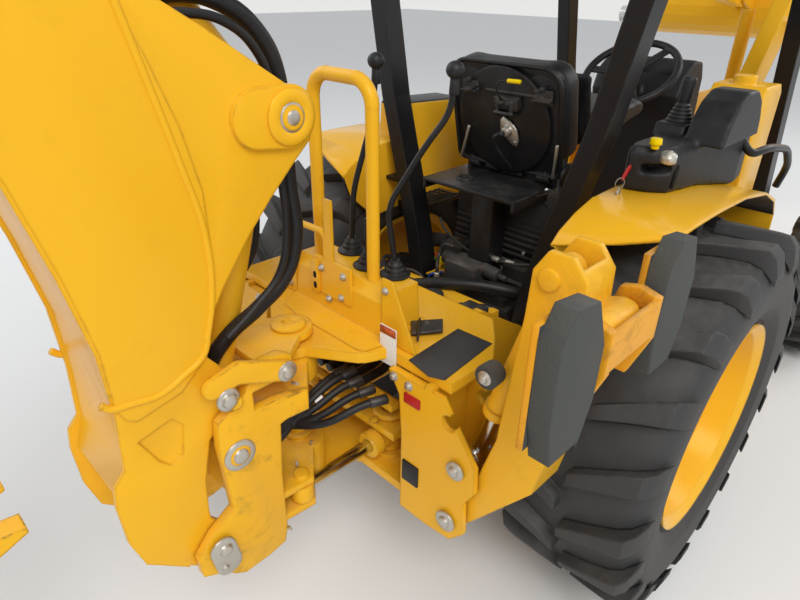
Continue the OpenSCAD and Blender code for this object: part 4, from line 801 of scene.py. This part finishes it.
# Swing casting: the CAD node with soft edges, its enamel greasy and worn. Zinc-plated pin heads on
# washers and oval pivot flags sit on its outer faces, alike on both sides, with grease nipples and
# two lathed kingpin caps.
greasy = painted("yellow_greasy", enamel, under=(0.10, 0.04, 0.025, 1), edge=1.0, scratch=0.45,
                 grime=0.85, dusty=0.3, gloss=0.34)
kingpin_x, boom_pin_x, boom_pin_z, flag_x, flag_z = -940, -1206, 838, -1284, 579
flag_turn = 0.18
eased("swing_casting", greasy, 5, angle=40)
pins, flags = [], []
for side in (-1, 1):
    y = side * 174
    for x, z, r, tall in ((-1070, 1011, 25, 12), (-1222, 1012, 27, 13)):
        pins += [rod((x, y - side * 4, z), (x, y + side * 4, z), r),
                 rod((x, y, z), (x, y + side * tall, z), r * 0.58, bevel=2)]
    x, y, z = boom_pin_x, side * 158, boom_pin_z
    pins += [rod((x, y - side * 4, z), (x, y + side * 5, z), 40, bevel=1.5),
             rod((x, y, z), (x, y + side * 12, z), 19, bevel=2.5)]
    cos, sin = math.cos(flag_turn), math.sin(flag_turn)
    oval = [(flag_x + u * cos - v * sin, flag_z + u * sin + v * cos)
            for u, v in rounded_box(-33, 33, -64, 58, 32.5)]
    flags += [plate(oval, "y", side * 170 - 4, 8, 2),
              rod((-1284, side * 166, 600), (-1284, side * 182, 600), 15, bevel=2),
              rod((-1292, side * 166, 545), (-1292, side * 180, 545), 8, sides=6)]
done(pins, "casting_pins", zinc, "swing_casting")
done(flags, "pivot_flags", zinc, "swing_casting")
ends = [((-1048, -158, 960), (-1044, -178, 964)), ((-1048, 158, 960), (-1044, 178, 964)),
        ((-940, -60, 640), (-940, -66, 658)), ((-1030, -120, 661), (-1030, -120, 677)),
        ((-1030, 120, 661), (-1030, 120, 677)), ((-1100, -160, 520), (-1100, -174, 520))]
nipples = [rod(foot, tip, 5, 3, sides=12, bevel=0.5) for foot, tip in ends]
done(nipples, "grease_nipples", zinc, "swing_casting")
caps = [upright([(0.001, 0.0), (0.040, 0.0), (0.046, 0.003), (0.046, 0.008), (0.030, 0.013), (0.016, 0.013),
                 (0.012, 0.007), (0.001, 0.007)], (kingpin_x, 0, z), 40) for z in (1005, 660)]
done(caps, "kingpin_caps", greasy, "swing_casting")

# Swing cylinders: the CAD rods with eased edges, hard chrome on their length. The forged eyes at
# their ends are painted with the casting.
rod_eye_x, rod_eye_y, rod_eye_z, eye_reach = -1030, 135, 590, 0.058
for side, sign in (("left", 1), ("right", -1)):
    ram = eased(f"swing_rod_{side}", chrome, 1.5, angle=50)
    eye_centre = at(rod_eye_x, sign * rod_eye_y, rod_eye_z)
    two_tone(ram, greasy, lambda face: (face.center - eye_centre).length < eye_reach)

# Swing frame: lathed trunnion bosses above and below each swing cylinder, greasy as the casting,
# with the hexagon bolts of their straps. They belong to the machine.
trunnion_x = -700
bosses = []
for y in (-135, 135):
    for z, up in ((668, 1), (512, -1)):
        bosses.append(upright([(0.001, 0.0), (0.050, 0.0), (0.052, 0.006 * up), (0.044, 0.016 * up),
                               (0.026, 0.018 * up), (0.022, 0.010 * up), (0.001, 0.010 * up)],
                              (trunnion_x, y, z), 40))
strap = bolts([(trunnion_x + dx, y, 664) for y in (-135, 135) for dx in (-62, 62)], (0, 0, 1), 20)
done(bosses + [strap], "trunnion_bosses", greasy)

# Boom: the CAD box of smooth plate with eased edges, in the yellow enamel. Weld beads, swept
# along each side, edge the pressed side plates. Each ear carries a plated pin head in a collar.
boom_side, ear_side, ear_x, ear_z = 131.5, 142, -988, 1561
eased("boom", yellow, 4, angle=40)
beads, ears, ear_pins = [], [], []
for side in (-1, 1):
    y = side * boom_side
    beads += [hose([(-1293, y, 1790), (-1256, y, 1638), (-1228, y, 1518), (-1199, y, 1368), (-1205, y, 1230),
                    (-1228, y, 1146)], 8),
              hose([(-1452, y, 1096), (-1436, y, 1081), (-1403, y, 1075), (-1344, y, 1067), (-1290, y, 1086),
                    (-1243, y, 1111), (-1226, y, 1146)], 8)]
    y = side * ear_side
    ears.append(lathe([(0.026, -0.006), (0.054, -0.006), (0.056, 0.004), (0.050, 0.009), (0.032, 0.009),
                       (0.026, 0.004)], at(ear_x, y, ear_z), 48, axis=(0, side, 0), out=(1, 0, 0)))
    ear_pins += [rod((ear_x, y, ear_z), (ear_x, y + side * 8, ear_z), 30, bevel=2),
                 rod((ear_x, y, ear_z), (ear_x, y + side * 13, ear_z), 15, bevel=2.5)]
done(beads, "boom_beads", yellow, "boom", 70)
done(ears, "ear_collars", yellow, "boom", 50)
done(ear_pins, "ear_pins", zinc, "boom")

# Hoses that feed the boom: a sleeved bundle over the boom's base and up its inner side, two thin
# hoses on the boom, and a fan of hoses with crimped ends from the frame through the casting. All
# are tubes swept along listed routes.
casting_end, boom_start = (-1190, -30, 900), (-1056, -58, 1126)
sleeve = hose([(-1230, -52, 1762), (-1150, -56, 1780), (-1060, -60, 1760), (-990, -60, 1705),
               (-960, -62, 1640), (-954, -64, 1520), (-950, -64, 1400), (-942, -62, 1270),
               (-978, -60, 1180), boom_start, (-1140, -52, 1080), (-1190, -40, 1010), casting_end],
              18, sides=5)
done(sleeve, "boom_hose_sleeve", rubber_cover, None, 60)
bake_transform(sleeve)
thin = [hose([(-1236, y, 1742), (-1150, y, 1748), (-1080, y - 4, 1732), (-1018, y, 1680), (-990, y, 1600),
              (-986, y, 1450), (-984, y, 1300), (-1010, y, 1210), (-1080, y, 1150), (-1160, y, 1100)],
             9, sides=3) for y in (-88, 30)]
done(thin, "boom_hoses", rubber_cover, "boom", 60)
fan, crimps = [], []
for i, (y, z) in enumerate(((-54, 824), (-90, 838), (-118, 822), (-166, 814), (-217, 808))):
    fan.append(hose([(-790, y, z), (-850, y * 0.86, z - 8), (-940, y * 0.55 - 16, z - 46),
                     (-1030, -66 + 14 * i, z - 90), (-1118, -62 + 22 * i, 700 - 10 * i)], 11))
    crimps.append(rod((-792, y, z), (-836, y * 0.90, z - 4), 14, bevel=2))
fan = done(fan, "casting_hoses", rubber_cover, None, 60)
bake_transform(fan)
done(crimps, "hose_crimps", dark_steel)
done(rod((-902, -78, 797), (-924, -72, 788), 12.2, bevel=0.5), "hose_band", label)

# Stabilizers: the CAD legs and pads with eased edges. The enamel of the pads is battered and
# their outer blocks are coarse rubber. On the frame, each leg has a rubber bumper and the plated
# heads of its pins.
battered = painted("yellow_battered", (0.76, 0.34, 0.015, 1), under=(0.085, 0.040, 0.028, 1), edge=1.0,
                   scratch=0.8, grime=0.9, dusty=0.5, gloss=0.42)
block_rubber = painted("block_rubber", (0.062, 0.066, 0.062, 1), under=(0.19, 0.18, 0.17, 1), gloss=0.80,
                       bump=0.9, edge=0.7, scratch=0.7, grime=0.2, dusty=0.5, dust=(0.20, 0.18, 0.16, 1))
pad_face_y, pad_web, leg_middle = 0.7575, 0.104, at(-745, 0, 0).x
for side in ("left", "right"):
    foot = eased(f"stabilizer_pad_{side}", battered, 4, angle=40)
    two_tone(foot, block_rubber, lambda face: abs(face.center.y) > pad_face_y
             and abs(face.center.x - leg_middle) > pad_web)
    eased(f"stabilizer_{side}", yellow_worn, 3.5, angle=40)
bumper_y, bumper_z = 548, 1062
bumpers, heads = [], []
for side in (-1, 1):
    y = side * bumper_y
    bumpers.append(rod((-828, y, bumper_z), (-786, y, bumper_z), 29, 27, bevel=5))
    heads.append(bolts([(-828, y, bumper_z)], (-1, 0, 0), 18, 1.9))
    for y, z, r in ((489, 760, 26), (470, 576, 30)):
        heads += [rod((-826, side * y, z), (-834, side * y, z), r, bevel=2),
                  rod((-832, side * y, z), (-842, side * y, z), r * 0.5, bevel=2.5)]
done(bumpers, "leg_bumpers", block_rubber)
done(heads, "leg_pin_heads", zinc)

# Between frame and seat: dark iron valve bodies and a ribbed wall, bent steel pipes with zinc
# fittings, a big suction hose over the transmission, and coloured wires with a connector. They are
# small blocks, bars and swept tubes fixed to the frame.
valves = [block((-250, -70, 890), (-150, 60, 960), 6), rod((-175, 60, 930), (-175, 118, 930), 24, bevel=3),
          rod((-190, -128, 940), (-190, -60, 946), 22, bevel=3),
          rod((-190, -158, 938), (-190, -128, 940), 10, bevel=2),
          block((-120, -240, 905), (-40, -90, 950), 5), block((-100, 110, 880), (-10, 210, 940), 6),
          rod((-60, 200, 930), (-60, 330, 905), 27, bevel=4),
          rod((-60, 330, 905), (-60, 372, 898), 15, bevel=2),
          block((-420, -200, 860), (-330, -120, 905), 6), block((-430, 90, 850), (-340, 190, 900), 6),
          rod((-380, -10, 840), (-380, -10, 905), 34, bevel=4)]
ribbed = [block((-60 + 3 * i, -236, 962 + 20 * i), (-48 + 3 * i, 176, 972 + 20 * i), 2) for i in range(9)]
ribbed.append(block((-44, -240, 950), (-10, 180, 1203), 4))
done(valves + ribbed, "valve_bodies", iron)
pipes = [hose([(-120, 196, 1040), (-126, 170, 1010), (-130, 120, 985), (-136, 60, 966), (-150, 10, 968)],
              5, sides=3),
         hose([(-150, 10, 968), (-146, -60, 974), (-150, -130, 976), (-140, -200, 988), (-120, -258, 1008)],
              6, sides=3),
         hose([(-200, 60, 990), (-200, 110, 990), (-210, 120, 940), (-250, 90, 930), (-250, 90, 880)],
              6, bend=22, sides=3),
         hose([(-230, -20, 890), (-290, -20, 880), (-310, 60, 870), (-360, 90, 860)], 6, bend=26, sides=3),
         hose([(-292, 95, 870), (-300, 140, 905), (-330, 200, 905), (-360, 250, 880)], 5, bend=26, sides=3)]
done(pipes, "bright_pipes", dark_steel, angle=60)
fits = [rod((-150, 24, 968), (-150, -14, 968), 11, sides=6),
        rod((-150, -60, 974), (-150, -96, 976), 11, sides=6), rod((-146, -120, 978), (-144, -152, 980), 8),
        rod((-96, -150, 1000), (-90, -150, 1000), 7, sides=6),
        rod((-250, 90, 900), (-250, 90, 880), 11, sides=6),
        rod((-64, 372, 897), (-66, 396, 893), 10, sides=6)]
done(fits, "pipe_fittings", zinc)
suction = hose([(-470, 240, 850), (-420, 160, 872), (-350, 60, 900), (-300, -20, 912), (-240, -110, 914),
                (-180, -190, 900), (-120, -230, 880)], 21, sides=5)
loops = [hose([(-60, -130, 1195), (-40, -190, 1160), (-50, -222, 1080), (-70, -190, 1010),
               (-70, -150, 1000)], 5, sides=3),
         hose([(-380, 190, 820), (-360, 240, 900), (-330, 262, 930), (-300, 230, 900), (-300, 180, 850)],
              7, sides=3),
         hose([(-460, -60, 848), (-400, -80, 880), (-330, -150, 890), (-280, -210, 870),
               (-260, -232, 830)], 9, sides=3),
         hose([(-470, 30, 850), (-400, 20, 872), (-330, 80, 868), (-290, 130, 840)], 10, sides=3)]
done([suction] + loops, "service_hoses", rubber_cover, angle=60)
wires = [
    ("red", (0.55, 0.02, 0.01, 1), [(-89, 290, 840), (-110, 270, 868), (-100, 230, 880), (-80, 190, 862)]),
    ("green", (0.02, 0.20, 0.04, 1), [(-84, 240, 840), (-120, 220, 872), (-130, 180, 870), (-110, 130, 850)]),
    ("blue", (0.01, 0.06, 0.50, 1), [(-200, 170, 830), (-218, 145, 862), (-190, 120, 870), (-170, 150, 850)]),
    ("amber", (0.80, 0.42, 0.01, 1), [(-130, 172, 850), (-150, 150, 876), (-180, 160, 860), (-190, 190, 840)])
]
for name, tint, route in wires:
    wire_mat = painted(f"{name}_wire", tint, gloss=0.4, edge=0, scratch=0, grime=0.15)
    done(hose(route, 4, sides=3), f"{name}_wire", wire_mat, angle=60)
connector = [rod((-123, 167, 852), (-133, 176, 884), 13, bevel=2), rod((-133, 176, 882), (-137, 180, 894), 9)]
done(connector, "wire_connector", vivid)

# Left of the seat: the toothed step beside the fender, rows of bent black bars in a steel frame,
# and the moulded cap over the fender's tool box, an outline given a thickness.
step_bars, bar_pitch, waves, wave_pitch, wave = 9, 13, 16, 16, 6
mesh_step = []
for i in range(step_bars):
    y = 300 + bar_pitch * i
    zigzag = [(-120 + wave_pitch * k, y + (wave if k % 2 else -wave), 1050) for k in range(waves)]
    mesh_step.append(hose(zigzag, 3.2, bend=4, sides=2))
mesh_step += [block((-124, 288, 1010), (-116, 410, 1056), 2), block((-124, 288, 1040), (120, 294, 1056), 2)]
done(mesh_step, "toothed_step", black)
box_cap = plate([(-80, 1393), (-64, 1409), (232, 1396), (254, 1376), (256, 1360), (236, 1372), (-66, 1384)],
                "y", 416, 134, 5, 3)
done(box_cap, "tool_box_cap", plastic)
